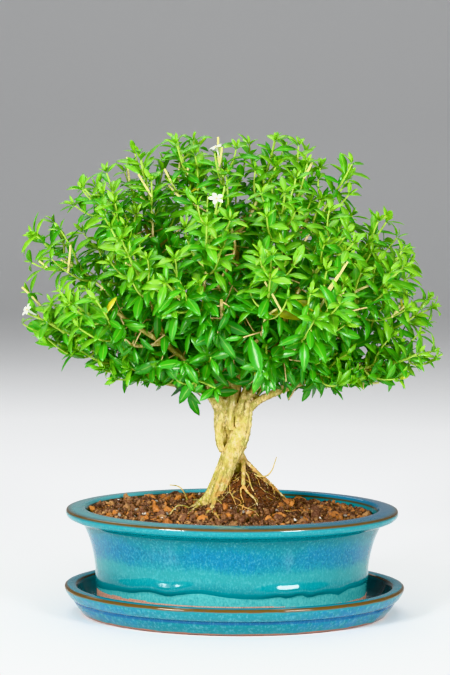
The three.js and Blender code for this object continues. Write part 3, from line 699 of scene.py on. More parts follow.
GLAZE_GLOSS = {"Roughness": 0.12, "IOR": 1.5, "Specular IOR Level": 0.35, "Coat Weight": 0.1,
               "Coat Roughness": 0.04}


def make_pot_glaze():
    """Stoneware under a running glaze: glossy turquoise with blue streaks that gather in a band, brown
    where it breaks thin over the lip's edges, and stopping above the foot in a thick dark roll"""
    material, run, above = new_material("Turquoise running glaze on stoneware", "run", "above_edge")
    side = along_axis(material, "X")
    drift, fine = pattern(material, 30, 2, 0.5, 0.25), pattern(material, 1.1, 3, 0.6, 0.22)
    streaks = pattern(material, 3.2, 3, 0.6, 0.12)
    on_wall = strength(material, (run, 24, 28), (run, 65, 62))
    wavering = swayed(material, run, [(drift, 11), (fine, 9)], on_wall)
    colour = paint(material, banded(material, wavering, POT_BANDS, 1.0),
                   banded(material, wavering, POT_WALL_BANDS, 4.5), on_wall)
    # cobalt in the middle band, strongest in a few patches round the pot, with a little lilac between
    band = strength(material, (wavering, 38, 46), (wavering, 63, 52))
    patches = swayed(material, patches_along(material, 230, POT_COBALT), [(pattern(material, 20, 2), 0.8)])
    colour = paint(material, colour, "#006a8e", band, (patches, 0.2, 0.8), (streaks, 0.3, 0.6, 0.35, 1.0))
    colour = paint(material, colour, "#4f8ea0", band, (patches, 0.35, 0.05), (streaks, 0.4, 0.65, 0.15, 0.5))
    # pale mottling on the glaze, and dark specks that are thickest in the band
    mottle = pattern(material, 1.3, 4, 0.7, 0.6)
    below_lip = strength(material, (run, 24, 28), (run, 71.4, 70))
    colour = paint(material, colour, "#4ea2a2", below_lip, (mottle, 0.5, 0.64, 0.0, 0.36))
    specks = add_node(material, "Math", {"operation": "MULTIPLY_ADD"}, {0: band, 1: 0.45, 2: 0.16})
    colour = paint(material, colour, "#034e61", (mottle, 0.48, 0.34), specks)
    # the lip is bluer on one side, partly the glaze's cobalt and partly a painted dark reflection, and paler
    # on the other with a painted pale reflection
    on_lip = strength(material, (run, 72.8, 74), (run, 84.6, 83.4))
    colour = paint(material, colour, "#125f86", on_lip, (side, 0.01, 0.09), 0.8)
    colour = paint(material, colour, "#5a9ea4", on_lip, (side, 0.03, -0.08), 0.75)
    # the roll of thick glaze is darkest at its very edge, and a thin wash of glaze runs on below it
    near_foot = strength(material, (run, 42, 37))
    colour = paint(material, colour, "#006c76", near_foot, (above, 9, 0.5), 0.55)
    wash = add_node(material, "ValToRGB", sockets={0: mottle}, stops=[
        (0.3, "#3a8f94"), (0.6, "#58aeae"), (0.8, "#8fa896")])
    colour = paint(material, colour, wash, near_foot, (above, 0.2, -0.2))
    return finish(material, colour, GLAZE_GLOSS, (pattern(material, 9, 2), 0.25, 0.5))


def make_saucer_glaze():
    """The same running glaze on the saucer: very glossy inside and darkened there with a painted dark
    reflection, pale blue on the outer wall, and gathered to indigo in the groove"""
    material, run = new_material("Turquoise running glaze on the saucer", "run")
    side = along_axis(material, "X")
    streaks, mottle = pattern(material, 5, 3, 0.6, 0.3), pattern(material, 2.0, 4, 0.7, 0.5)
    colour = banded(material, swayed(material, run, [(pattern(material, 12, 2), 1.2)]), SAUCER_BANDS, 0.8)
    outside = strength(material, (run, 1.5, 4), (run, 18, 16.5))
    colour = paint(material, colour, "#0d6a9c", outside, patches_along(material, 240, SAUCER_COBALT),
                   (streaks, 0.36, 0.62, 0.3, 1.0), 0.8)
    # the left of the inside is paler: painted light, where the painted dark reflection gives way
    colour = paint(material, colour, "#128088", (run, 28.2, 29.5), (side, 0.01, -0.06), 0.8)
    colour = paint(material, colour, "#559fa8", outside, (mottle, 0.48, 0.66, 0.0, 0.55))
    colour = paint(material, colour, "#045068", (mottle, 0.46, 0.3, 0.0, 0.25))
    # the groove
    colour = paint(material, colour, "#164f7a", (run, 8.0, 9.4), (run, 12.2, 10.8), 0.6)
    return finish(material, colour, GLAZE_GLOSS, (pattern(material, 8, 2), 0.25, 0.5))


def make_clay():
    """Unglazed red stoneware: matt and finely grainy, so that the foot reads as bare clay"""
    material, = new_material("Bare red stoneware")
    grain = pattern(material, 0.7, 3, 0.6)
    colour = add_node(material, "ValToRGB", sockets={0: grain}, stops=[
        (0.3, "#8f5f4c"), (0.55, "#b98a76"), (0.75, "#caa591")])
    return finish(material, colour, {"Roughness": 0.85}, (grain, 0.12, 1))


def make_bark():
    """Old serissa bark: pale cream and fibrous, with yellow-green lichen and dark cracks that also carry
    painted shade in the furrows and hollows, and browner on the roots that come out of the earth"""
    material, cracks_and_shade, height, root = new_material("Serissa bark", "cracks_and_shade", "height", "root")
    side = along_axis(material, "X")
    fibre, speckle = pattern(material, 1.1, 4, 0.65, 0.3), pattern(material, 2.7, 5, 0.75, 0.55)
    colour = add_node(material, "ValToRGB", sockets={0: fibre}, stops=[
        (0.28, "#9a7f45"), (0.42, "#c9b573"), (0.6, "#dccb8c"), (0.8, "#ece2b4")])
    layers = [
        # lichen all over, and a thicker green one towards the foot and the left
        ("#a3a248", (pattern(material, 5, 5, 0.7), 0.44, 0.57), 0.7),
        ("#a3a436", (pattern(material, 3.2, 3, 0.6), 0.45, 0.6), (height, 150, 84, 0.0, 0.9),
         (side, -0.006, -0.022, 0.25, 1.0)),
        # brown roots
        ("#a87440", root, (pattern(material, 5, 3), 0.3, 0.6, 0.5, 1.0)),
        # olive and cream speckles, darker strands along the grain, and dark dots
        ("#8f8a3c", (speckle, 0.48, 0.6, 0.0, 0.75)),
        ("#f4ecc6", (speckle, 0.47, 0.34, 0.0, 0.6)),
        ("#a8924e", (pattern(material, 3.4, 3, 0.6, 0.16), 0.5, 0.68, 0.0, 0.6)),
        ("#6f6528", (pattern(material, 1.7, 3, 0.6, 0.7), 0.55, 0.68, 0.0, 0.65)),
        # rust low on the right, and dark cracks, deepened with painted shade in the furrows and hollows
        ("#c98f4c", (pattern(material, 6, 3), 0.42, 0.56), (height, 100, 88, 0.15, 1.0),
         (side, -0.022, -0.008, 0.0, 0.7)),
        ("#655020", (cracks_and_shade, 0.3, 1.1, 0.0, 0.75)),
    ]
    for over, *masks in layers:
        colour = paint(material, colour, over, *masks)
    return finish(material, colour, {"Roughness": 0.8}, (fibre, 0.25, 0.8))


def make_twig_bark():
    """Young wood: tan and a little shiny, greener and smoother towards the shoots' ends"""
    material, tone = new_material("Young serissa bark", "tone")
    grain = pattern(material, 1.0, 3, 0.6)
    colour = add_node(material, "ValToRGB", sockets={0: tone}, stops=[
        (0.0, "#b8935c"), (0.4, "#dfcf92"), (0.7, "#b9cc66"), (1.0, "#9cc04a")])
    colour = paint(material, colour, "#8a6a34", (grain, 0.5, 0.32, 0.0, 0.4))
    return finish(material, colour, {"Roughness": 0.65}, (grain, 0.05, 0.7))


def make_leaf(name, deep, fresh, young, yellow, rib, gloss):
    """Serissa leaf: its tone runs from deep to fresh to young green and, in a fading leaf, to yellow; the
    midrib is paler, and the blade lets some light through"""
    material, tone = new_material(name, "tone")
    spot = add_node(material, "UVMap", {"uv_map": "UVMap"})
    across = add_node(material, "SeparateXYZ", sockets={0: spot}, output="Y")
    off_middle = add_node(material, "Math", {"operation": "SUBTRACT"}, {0: across, 1: 0.5})
    off_rib = add_node(material, "Math", {"operation": "ABSOLUTE"}, {0: off_middle})
    colour = add_node(material, "ValToRGB", sockets={0: tone}, stops=[
        (0.0, deep), (0.45, fresh), (0.86, young), (0.93, young), (1.0, yellow)])
    colour = paint(material, colour, "#2f8f1e", (pattern(material, 9, 2), 0.4, 0.65, 0.0, 0.35))
    colour = paint(material, colour, "#b9da62", (off_rib, 0.07, 0.02, 0.0, rib))
    return finish(material, colour, gloss, (pattern(material, 1.4, 2), 0.12, 0.5),
                  (paint(material, colour, "#8fe022", 0.5), 0.3))


def make_leaf_sides():
    """The upper side, glossy and fresh green, and the underside, matt and paler"""
    upper = make_leaf("Serissa leaf, upper side", "#1a7a1c", "#46ac24", "#a2d93c", "#e0d43a", 0.4, {
        "Roughness": 0.35, "IOR": 1.5, "Coat Weight": 0.25, "Coat Roughness": 0.22})
    under = make_leaf("Serissa leaf, underside", "#5fa544", "#86c258", "#acd66c", "#dfd870", 0.3, {
        "Roughness": 0.5, "IOR": 1.5, "Coat Weight": 0.0, "Coat Roughness": 0.22})
    return upper, under


def make_petal():
    """White petals: soft, matt and slightly see-through, so that they stay bright in the shade"""
    material, = new_material("White serissa petals")
    grain = pattern(material, 1.0, 2)
    colour = add_node(material, "ValToRGB", sockets={0: grain}, stops=[(0.3, "#eceee0"), (0.7, "#fbfbf6")])
    return finish(material, colour, {"Roughness": 0.55}, (grain, 0.05, 0.5), (colour, 0.25))


def make_stamen():
    """Pollen: a soft pale yellow"""
    material, = new_material("Serissa stamens")
    colour = add_node(material, "ValToRGB", sockets={0: pattern(material, 0.4)}, stops=[
        (0.3, "#c9b04a"), (0.7, "#e6d98a")])
    return finish(material, colour, {"Roughness": 0.7})


def make_granules():
    """Fired clay and bark crumbs: dull and dusty; each grain has its own shade from near black to orange,
    with a few white ones, and those on the right are darker"""
    material, tone = new_material("Fired clay granules", "tone")
    dust = pattern(material, 1.2, 4, 0.65)
    colour = add_node(material, "ValToRGB", sockets={0: tone}, stops=[
        (0.0, "#22130b"), (0.2, "#42281b"), (0.4, "#6b4634"), (0.58, "#7f583a"), (0.72, "#ab8150"),
        (0.74, "#985c2c"), (0.86, "#c07e3c"), (0.9, "#8f8d84"), (0.95, "#e6e2d4"), (1.0, "#f2efe6")])
    colour = paint(material, colour, "#c8a078", (dust, 0.45, 0.7, 0.0, 0.34))
    colour = paint(material, colour, "#26150b", (dust, 0.46, 0.28, 0.0, 0.65))
    colour = paint(material, colour, "#3a1c0c", (along_axis(material, "X"), 0.01, 0.07, 0.0, 0.3))
    return finish(material, colour, {"Roughness": 0.9}, (dust, 0.3, 1))


def make_earth():
    """Fine dark earth between the granules, reddish on the root cone, with a green bloom here and there"""
    material, = new_material("Fine brown earth")
    grain = pattern(material, 1.6, 5, 0.7)
    colour = add_node(material, "ValToRGB", sockets={0: grain}, stops=[
        (0.3, "#24160c"), (0.48, "#4a301c"), (0.6, "#6b4729"), (0.78, "#9a6f44")])
    colour = paint(material, colour, "#6e3c1c", (along_axis(material, "Z"), 70 * MM, 84 * MM, 0.0, 0.55))
    colour = paint(material, colour, "#5d6424", (pattern(material, 8, 3), 0.52, 0.66), 0.5)
    return finish(material, colour, {"Roughness": 0.95}, (grain, 0.8, 1))


def make_netting():
    """Dark green polythene netting: waxy and evenly dull"""
    material, = new_material("Polythene netting")
    colour = add_node(material, "ValToRGB", sockets={0: pattern(material, 1.5, 2)}, stops=[
        (0.3, "#22402c"), (0.7, "#2f5238")])
    return finish(material, colour, {"Roughness": 0.5})


# ---- the tree's plan: sprays, and the twigs that carry them ----

def spray_tips():
    """Where each spray ends: on the outline, then evenly over the dome, then low inside the crown"""
    random = seeded(TIP_SEED)
    heart = np.array([CROWN["x"], CROWN["y"], CROWN["z"]], float)
    tips = []
    for reached in OUTLINE_TIPS:
        outward = unit(np.array(reached) - heart)
        tips.append((np.array(reached) - outward * LEAF_REACH, outward, 1.0))
    for i in range(DOME_PLACES):
        if len(tips) >= OUTER_SPRAYS:
            break
        z = 1 - (1 - DOME_LOWEST) * ((i + 0.5) / DOME_PLACES)
        flat = math.sqrt(max(0, 1 - z * z))
        angle = i * GOLDEN_ANGLE
        direction = np.array([flat * math.cos(angle), flat * math.sin(angle), z])
        sizes = np.array([CROWN["half_length"], CROWN["half_depth"], CROWN["rise" if z > 0 else "sink"]])
        tip = heart + direction * sizes * varied(random, 0.93, 1.02)
        if any(np.linalg.norm(other - tip) < TIP_SPACING for other, _, _ in tips):
            continue
        tips.append((tip, direction * [1, 1, 1 if z > 0 else 0.4], 1.0))
    for i in range(LOW_SPRAYS):
        angle = 2 * math.pi * (i + varied(random, 0, 0.3)) / LOW_SPRAYS
        lowest, dip = LOW_ROWS[i % 2]
        reach = varied(random, 0.52, 0.66)
        outward = np.array([math.cos(angle), math.sin(angle), -dip])
        height = varied(random, lowest, lowest + 12)
        tips.append((np.array([CROWN["half_length"] * reach * outward[0],
                               CROWN["half_depth"] * reach * outward[1], height]), outward, LOW_SHARE))
    return tips


def twig_to(end, heading):
    """The twig that reaches a spray at the least cost in length and turning, from a place on a limb"""
    best = None
    for radii, points in LIMBS:
        for step in range(4, 20):
            t = step / 20
            start = on_spline(points, t)
            length = np.linalg.norm(end - start)
            way = unit(end - start)
            tangent = heading_at(spline(points), t)
            turn = 1.7 - way @ tangent - 0.4 * (way @ heading)
            cost = (length + 6) * turn + (40 if length < 14 else 0)
            if best is None or cost < best[0]:
                best = (cost, start, way, tangent, length, along(radii, t))
    _, start, way, tangent, length, radius = best
    curve = bezier(start, start + (way + 0.4 * tangent) * 0.25 * length, end - heading * 0.35 * length, end)
    return curve, [min(0.85 * radius, 1.2 + 0.014 * length), 0.95]


def spray_plans():
    """Each spray's place, heading and length, and the twig that carries it"""
    plans = []
    for index, (tip, outward, share) in enumerate(spray_tips()):
        random = seeded(SPRAY_SEED + index)
        lean = stray(random, 0.5)
        lift = 0 if outward[2] < -0.2 else 0.35
        heading = unit(unit(outward) + UP * lift + lean)
        length = share * SPRAY_LENGTH * varied(random, 0.85, 1.15)
        start = tip - heading * length
        twig, radii = twig_to(start, heading)
        stretch = TIP_STRETCH["second" if index == 1 else "outline" if index < len(OUTLINE_TIPS) else "rest"]
        plans.append({"tip": tip, "heading": heading, "start": start, "length": length, "twig": twig,
                      "radii": radii, "stretch": stretch})
    return plans


# ---- pottery ----

# Where the thick glaze ends above the foot, seen from the front: [x, z] from left to right
GLAZE_EDGE = [(-115, 19), (-94, 19.4), (-77, 22.3), (-66, 22.8), (-60, 24.6), (-54, 25.2), (-49, 24.4),
              (-42, 23), (-36, 24.6), (-28, 26), (-20, 26.6), (-13, 25.6), (-4, 24.3), (8, 23.2), (18, 22.9),
              (27, 23.6), (31, 24.6), (37, 22.6), (42, 24), (46, 25), (52, 21.8), (56, 23.6), (66, 23.4),
              (72, 21.6), (79, 24.4), (91, 24), (115, 22)]
# How full the roll of glaze is, and the height of the bare clay below its wash
ROLL_FULLNESS = [(-115, 0.3), (-80, 0.34), (-64, 0.93), (-36, 0.93), (-22, 0.36), (5, 0.3), (16, 0.36),
                 (28, 0.93), (54, 0.93), (66, 0.4), (80, 0.34), (115, 0.3)]
CLAY_EDGE = [(-115, 18.4), (-89, 18.1), (-66, 18.4), (-50, 18.1), (-34, 18), (27, 18), (45, 16.6), (70, 15.9),
             (85, 15.4), (115, 14.8)]
WALL_REACH = 88  # half length past which a place lies on the pot's outside
ROLL_RISE = (-1.2, 2.8)  # heights over the glaze's edge between which the roll swells
ROLL_FALL = (3.5, 11)  # and those between which it runs out into the wall
FOOT_REACH = 83.2  # half length of the foot ring's inner side
ROLL_ZONE = (8.5, 46)  # heights between which the wall is shaped by the glaze
LIP_ZONE = (64, 72)
LIP_WAVES = 0.25 * MM
NOTCH_TOP = 9.3 * MM
DRAIN_PLACE = 38 * MM
DRILL_LENGTH = 0.03  # the cylinders that cut the drain holes
DRILL_HEIGHT = 0.0118  # their middle
FOOT_TOP = 9.2  # the notches in the foot stay below this height
INNER_FLOOR = 0.0095  # the glazed floor inside lies above this height
WASH_WAVES = 0.3  # how uneven the edge of the bare clay is
DRIP_ZONE = (0.8, 9.5)  # heights of the saucer's outer wall below its groove
DRIP_DEPTH = 0.45 * MM
END_BLEND = 16 * MM  # how far in front of and behind the pot's ends the two sides run into each other
BACK_SQUEEZE = -0.93  # the back follows the front's list, turned round and a little stretched


def on_front(points, x, y):
    """The value at a place on the wall, of a list that follows the front and is turned round for the back;
    the two run into each other at the pot's ends"""
    xs, values = zip(*points)
    front, back = np.interp([x, BACK_SQUEEZE * x], xs, values)
    return float(front + (back - front) * smooth_step(-END_BLEND, END_BLEND, y))


def inner_soil_height(x, y):
    """Height of the soil: a low mound, heaped up at the back left, with the root cone standing in it"""
    mound = 7 * math.exp(-((x + 2) ** 2) / 2400 - y ** 2 / 1700)
    heap = 2.6 * float(smooth_step(10, -50, x) * smooth_step(-10, 40, y))
    cone = 105 - 0.98 * math.hypot(x - CONE_X, (y - CONE_Y) * 0.9)
    return max(SOIL_EDGE_Z + mound + heap, cone)


class POTTERY_PG_settings(bpy.types.PropertyGroup):
    pot_half_length: length_property(
        "Pot half length", "From the pot's middle to the end of its lip", 115)
    saucer_half_length: length_property(
        "Saucer half length", "From the saucer's middle to the end of its rim", 117.8)
    glaze_edge: length_property(
        "Glaze edge", "How far the thick edge of the glaze stands out above the foot", 2.1)
    notch_width: length_property(
        "Foot notch width", "Width of the notches under the middle of each long side", 30)
    drain_radius: length_property(
        "Drain hole radius", "Radius of the two holes in the pot's floor", 8)


# Half sections from the middle of the underside round to the middle of the floor: [half length, height]
SAUCER_PROFILE = [
    (0, 0), (104.8, 0), (106.1, 2), (109.6, 6.2), (111.6, 9.4), (111.2, 10.6), (113.8, 11.6),
    (116.2, 15), (117.8, 18.4), (116.9, 20.1), (112.8, 20.6), (108.8, 19.8), (106.6, 14), (103.3, 8.4),
    (97.8, 5.5), (0, 5.5),
]
POT_PROFILE = [
    (0, 9.3), (83, 9.3), (84, 5.8), (91.4, 5.8), (93, 8), (93.4, 13), (93.6, 21), (95, 38), (98.2, 51.5),
    (102.6, 61.8), (105, 65), (112.6, 66.6), (114.8, 69), (115, 71.6), (113.8, 73.3), (102.5, 74.4),
    (101.2, 72.4), (98.6, 67.5), (92.6, 56), (88.6, 40), (86.4, 19.3), (82, 14.3), (0, 14.3),
]
OVAL_SEGMENTS = 144
POT_LIP, SAUCER_LIP = 73.6, 20.0  # heights of the tops of the lips


def runs_of(profile, lip_height):
    """How far along each ring lies: its height up to the lip, then on over the lip and down the inside"""
    crest = max(range(len(profile)), key=lambda order: profile[order][1] if profile[order][0] > 0 else 0)
    runs = []
    for order, (a, z) in enumerate(profile):
        if order == 0 or (order < crest and z <= lip_height):
            runs.append(z)
        else:
            before = profile[order - 1]
            runs.append(runs[-1] + math.hypot(a - before[0], z - before[1]))
    return runs


def add_pottery(name, profile, lip_height, narrowing, centre_x, half_length):
    """An oval piece raised ring by ring to its half length, with the run of the nearest ring stored on
    each vertex"""
    rings = finer(finer(rounded(profile), 6, 75, 1.4), 14, 34, 0.7)
    stretch = half_length / (max(a for a, z in rings) * MM)
    rings = [(a * stretch if a > OVAL_CORE else a, z) for a, z in rings]
    for end in (0, -1):
        rings[end] = (0.4, rings[end][1])
    piece = turn_oval(name, rings, narrowing, centre_x, OVAL_SEGMENTS)
    close_up(piece, 0.000001)
    runs = runs_of(rings, lip_height)
    reaches, heights = np.array(rings).T
    nearest = [np.argmin((reaches - oval_reach(x - centre_x / MM, y, narrowing)) ** 2 + (heights - z) ** 2)
               for x, y, z in vertices_of(piece.data) / MM]
    mark(piece.data, "run", [runs[ring] for ring in nearest])
    return piece


def oval_reach(x, y, narrowing):
    """Half length of the oval ring that a place lies on"""
    low, high = 0.0, 150.0
    for _ in range(24):
        middle = (low + high) / 2
        if middle <= 0.001 or (x / middle) ** 2 + (y / oval_width(middle, narrowing)) ** 2 > 1:
            low = middle
        else:
            high = middle
    return (low + high) / 2


class MESH_OT_bonsai_saucer(bpy.types.Operator):
    """Add the oval glazed saucer with its grooved wall and rounded lip"""
    bl_idname = "mesh.bonsai_saucer"
    bl_label = "Saucer"

    def execute(self, context):
        size = context.scene.bonsai_pottery
        saucer = add_pottery("saucer_body", SAUCER_PROFILE, SAUCER_LIP, SAUCER_NARROWING, 0,
                             size.saucer_half_length)
        # thick drips run down the outer wall here and there
        places, normals = vertices_of(saucer.data), vertices_of(saucer.data, "normal")
        for place, normal in zip(places, normals):
            x, y, z = place / MM
            if DRIP_ZONE[0] < z < DRIP_ZONE[1] and math.hypot(x, y) > 70:
                angle = math.atan2(y, x)
                drip = noise.noise(Vector((math.cos(angle) * 9, math.sin(angle) * 9, 3)))
                place += normal * DRIP_DEPTH * smooth_step(0.1, 0.45, drip)
        move_vertices(saucer.data, places)
        shade(saucer, 70)
        dress(saucer, [make_saucer_glaze()], ["saucer"])
        return {"FINISHED"}


class MESH_OT_bonsai_pot(bpy.types.Operator):
    """Add the flared oval pot: bare clay foot, thick glaze edge above it, flat lip, and drain holes"""
    bl_idname = "mesh.bonsai_pot"
    bl_label = "Pot"

    def execute(self, context):
        size = context.scene.bonsai_pottery
        pot = add_pottery("pot_body", POT_PROFILE, POT_LIP, POT_NARROWING, POT_X, size.pot_half_length)
        places, normals = vertices_of(pot.data), vertices_of(pot.data, "normal")
        for place, normal in zip(places, normals):
            x, y, z = place
            px, height = (x - POT_X) / MM, z / MM
            reach = oval_reach(px, y / MM, POT_NARROWING)
            # the notches in the foot let water out
            if height < FOOT_TOP and reach > FOOT_REACH and abs(x - POT_X) < size.notch_width / 2:
                place[2] = NOTCH_TOP
            # the glaze stops in a thick scalloped roll above the bare foot
            elif reach > WALL_REACH and ROLL_ZONE[0] < height < ROLL_ZONE[1]:
                above = height - on_front(GLAZE_EDGE, px, y)
                swell = smooth_step(*ROLL_RISE, above) * (1 - smooth_step(*ROLL_FALL, above))
                place += normal * size.glaze_edge * (swell * on_front(ROLL_FULLNESS, px, y))
            # the lip's underside is a little uneven
            elif reach > WALL_REACH and LIP_ZONE[0] < height < LIP_ZONE[1]:
                place += normal * LIP_WAVES * noise.noise(Vector((x * 60, y * 60, z * 30)))
        move_vertices(pot.data, places)
        mark(pot.data, "above_edge", [z / MM - on_front(GLAZE_EDGE, (x - POT_X) / MM, y)
                                      for x, y, z in places])
        for end in (-1, 1):
            deselect()
            bpy.ops.mesh.primitive_cylinder_add(vertices=32, radius=size.drain_radius, depth=DRILL_LENGTH,
                                                location=(POT_X + end * DRAIN_PLACE, 0, DRILL_HEIGHT))
            drill = settle(bpy.context.object, "drill")
            apply_modifier(pot, "BOOLEAN", operation="DIFFERENCE", object=drill, solver="EXACT")
            bpy.data.objects.remove(drill)
        dress(pot, [make_pot_glaze(), make_clay()], ["pot"])
        # bare clay below the wash and on the underside
        for face in pot.data.polygons:
            x, y, z = face.center
            px = (x - POT_X) / MM
            edge = on_front(CLAY_EDGE, px, y) + WASH_WAVES * noise.noise(Vector((x * 60, y * 60, 1)))
            inside = oval_reach(px, y / MM, POT_NARROWING) < WALL_REACH + 0.5 and z > INNER_FLOOR
            face.material_index = 1 if z < edge * MM and not inside else 0
        shade(pot, 50)
        return {"FINISHED"}


# ---- wood ----

class WOOD_PG_settings(bpy.types.PropertyGroup):
    grain_relief: length_property(
        "Bark relief", "How far the bark's ridges stand out from its furrows", 1.1)
    skin_size: length_property(
        "Skin size", "Size of the faces on the grown-together trunk", 0.6)
    stub_count: IntProperty(
        name="Cut stubs", description="Pruned stubs left on the limbs", default=12, min=0, max=60)


def root_routes(random):
    """The exposed roots, each with a finer root that forks from it and runs on down into the soil"""
    routes = []
    for radii, points in EXPOSED_ROOTS:
        curve = spline(points)
        routes.append(sampled(curve, radii, 1.6, random, 0.14))
        t = varied(random, 0.25, 0.7)
        start, way = curve(t), heading_at(curve, t)
        side = unit(np.cross(way, UP)) * (1 if random() < 0.5 else -1)
        reach = varied(random, 16, 30)
        end = start + unit(way + side * varied(random, 0.5, 1.1)) * reach
        end[2] = inner_soil_height(end[0], end[1]) - 0.6
        middle = (start + end) / 2 + side * 3
        middle[2] = max(middle[2], inner_soil_height(middle[0], middle[1]) + 0.6)
        fork = bezier(start, middle, end)
        routes.append(sampled(fork, [along(radii, t) * 0.6, 0.5], 1.6, random, 0.16))
    return routes


def draped_routes(random, count):
    """Thin pale roots that lie on the earth of the root cone"""
    routes = []
    for _ in range(count):
        angle = varied(random, 0, 2 * math.pi)
        near = varied(random, 6, 22)
        far = near + varied(random, 8, 22)
        turn = varied(random, -0.7, 0.7)
        points = []
        for step in range(9):
            share = step / 8
            bend = angle + turn * share + 0.16 * math.sin(share * 9 + angle * 5)
            reach = near + (far - near) * share
            x, y = CONE_X + reach * math.cos(bend), CONE_Y + reach * math.sin(bend) / 0.9
            points.append((x, y, inner_soil_height(x, y) + 0.1 + 0.5 * math.sin(share * 7 + angle)))
        thickness = varied(random, 0.2, 0.45)
        routes.append((points, [thickness * (1 - 0.55 * step / 8) for step in range(9)]))
    return routes


def relief(piece, routes, depth):
    """Raise the bark in ridges that run along the nearest stem, and return how deep each place lies"""
    knots, runs, owners = [], [], []
    for owner, (points, _) in enumerate(routes):
        steps = np.linalg.norm(np.diff(points, axis=0), axis=1)
        knots.extend(points)
        runs.extend([0, *np.cumsum(steps)])
        owners.extend([owner] * len(points))
    tree = KDTree(len(knots))
    for order, knot in enumerate(knots):
        tree.insert(knot, order)
    tree.balance()
    places, heights = vertices_of(piece.data), []
    for spot in places / MM - [POT_X / MM, 0, 0]:
        _, nearest, _ = tree.find(spot)
        x, y, _ = spot - knots[nearest]
        run, owner = runs[nearest], owners[nearest]
        coarse = noise.noise(Vector((x * 0.34, y * 0.34, run * 0.05 + owner * 17)))
        fine = noise.noise(Vector((x * 1.05, y * 1.05, run * 0.13 + owner * 29)))
        pit = noise.noise(Vector(spot * 0.8) + Vector((owner, 0, 5)))
        heights.append(0.5 * coarse + 0.42 * fine + 0.2 * pit)
    heights = np.array(heights)
    move_vertices(piece.data, places + vertices_of(piece.data, "normal") * depth * heights[:, None])
    return -1.4 * heights


def hollows(piece, reach=3):
    """How far each vertex lies in a hollow: its height below the mean of its neighbourhood, in mm"""
    mesh = piece.data
    places, normals = vertices_of(mesh), vertices_of(mesh, "normal")
    edges = np.empty(len(mesh.edges) * 2, np.int32)
    mesh.edges.foreach_get("vertices", edges)
    first, second = edges.reshape(-1, 2).T
    count = np.bincount(first, minlength=len(places)) + np.bincount(second, minlength=len(places))
    smooth = places.copy()
    for _ in range(reach * 4):
        total = np.zeros_like(smooth)
        np.add.at(total, first, smooth[second])
        np.add.at(total, second, smooth[first])
        smooth = total / np.maximum(count, 1)[:, None]
    return ((smooth - places) * normals).sum(axis=1) / MM


def dress_wood(piece, bark, cracks_and_shade, root, replaces=()):
    """Store what the bark reads, the cracks with their painted shade in the hollows and how much like a
    root the wood is, and give it its bark
    """
    mark(piece.data, "cracks_and_shade", cracks_and_shade)
    mark(piece.data, "height", vertices_of(piece.data)[:, 2] / MM)
    mark(piece.data, "root", root)
    dress(piece, [bark], replaces)


class MESH_OT_bonsai_trunk(bpy.types.Operator):
    """Add the grown-together trunk with its sinews, its exposed roots and the feet of its limbs"""
    bl_idname = "mesh.bonsai_trunk"
    bl_label = "Trunk and roots"

    def execute(self, context):
        size = context.scene.bonsai_wood
        random = seeded(ROOT_SEED)
        thick = [root for root in SURFACE_ROOTS if root[0][0] > FINE_ROOT]
        fine = [root for root in SURFACE_ROOTS if root[0][0] <= FINE_ROOT]
        routes = routed(TRUNK_STEMS + SINEWS, 1.6, random, 0.05) + root_routes(random)
        routes += routed(thick, 1.6, random, 0.12)
        for radii, points in LIMBS:
            shares = [LIMB_FOOT * step / 14 for step in range(15)]
            routes.append(([on_spline(points, t) for t in shares],
                           [along(radii, t) * LIMB_SLIMNESS * FOOT_FULLNESS for t in shares]))
        trunk = stems("trunk", routes, 3)
        apply_modifier(trunk, "REMESH", mode="VOXEL", voxel_size=size.skin_size, use_smooth_shade=True)
        apply_modifier(trunk, "SMOOTH", factor=0.5, iterations=5)
        furrows = relief(trunk, routes, size.grain_relief)
        # how dark the bark is: its cracks, with painted shade in the furrows and the hollows
        cracks_and_shade = np.clip(furrows, 0, 1) * 0.8 + np.clip(hollows(trunk) * 1.6, -0.3, 1)
        # the roots, and the stem's foot on the side of the root cone, are browner
        x, _, height = vertices_of(trunk.data).T / MM
        brown = smooth_step(0, 5, x - POT_X / MM + 0.35 * (height - 112)) * smooth_step(112, 106, height)
        brown = np.maximum(brown, 0.8 * smooth_step(84, 70, height))
        free = routed(FREE_ROOTS + fine, 1.2, random, 0.15) + draped_routes(random, LYING_ROOTS)
        hair = stems("hair_roots", free, 1)
        bark = make_bark()
        dress_wood(trunk, bark, cracks_and_shade, np.clip(brown, 0, 1) * 0.75, ["trunk_roots_branches"])
        dress_wood(hair, bark, 0, 0.3)
        return {"FINISHED"}


class MESH_OT_bonsai_branches(bpy.types.Operator):
    """Add the limbs beyond their feet, the twigs that carry the sprays, and the pruned stubs"""
    bl_idname = "mesh.bonsai_branches"
    bl_label = "Limbs, twigs and stubs"

    def execute(self, context):
        size = context.scene.bonsai_wood
        random = seeded(STUB_SEED)
        routes = []
        for radii, points in LIMBS:
            ends = [along(radii, LIMB_START) * LIMB_SLIMNESS, radii[-1] * LIMB_SLIMNESS]
            routes.append(sampled(spline(points, LIMB_START), ends, 3, random, 0.1))
        for plan in spray_plans():
            routes.append(sampled(plan["twig"], plan["radii"], 3, random, 0.1))
        limbs = stems("limbs", routes, 2)
        stubs = []
        for order in range(size.stub_count):
            radii, points = LIMBS[order % len(LIMBS)]
            t = varied(random, 0.16, 0.5)
            start = on_spline(points, t)
            way = unit(stray(random, 1.6) + UP * 0.5 + np.array([0, -0.5, 0]))
            length = varied(random, 7, 14)
            radius = varied(random, 0.55, 0.85) * along(radii, t)
            curve = bezier(start, start + way * length * 0.5, start + way * length + stray(random, 3))
            stubs.append(sampled(curve, [radius, radius * 0.8], 2, random, 0.14))
        # the limbs, twigs and stubs darken in their hollows: painted shade
        for piece in (limbs, stems("cut_stubs", stubs, 3)):
            dress_wood(piece, bpy.data.materials["Serissa bark"], np.clip(hollows(piece, 1), 0, 1), 0)
        return {"FINISHED"}


# ---- leaves ----

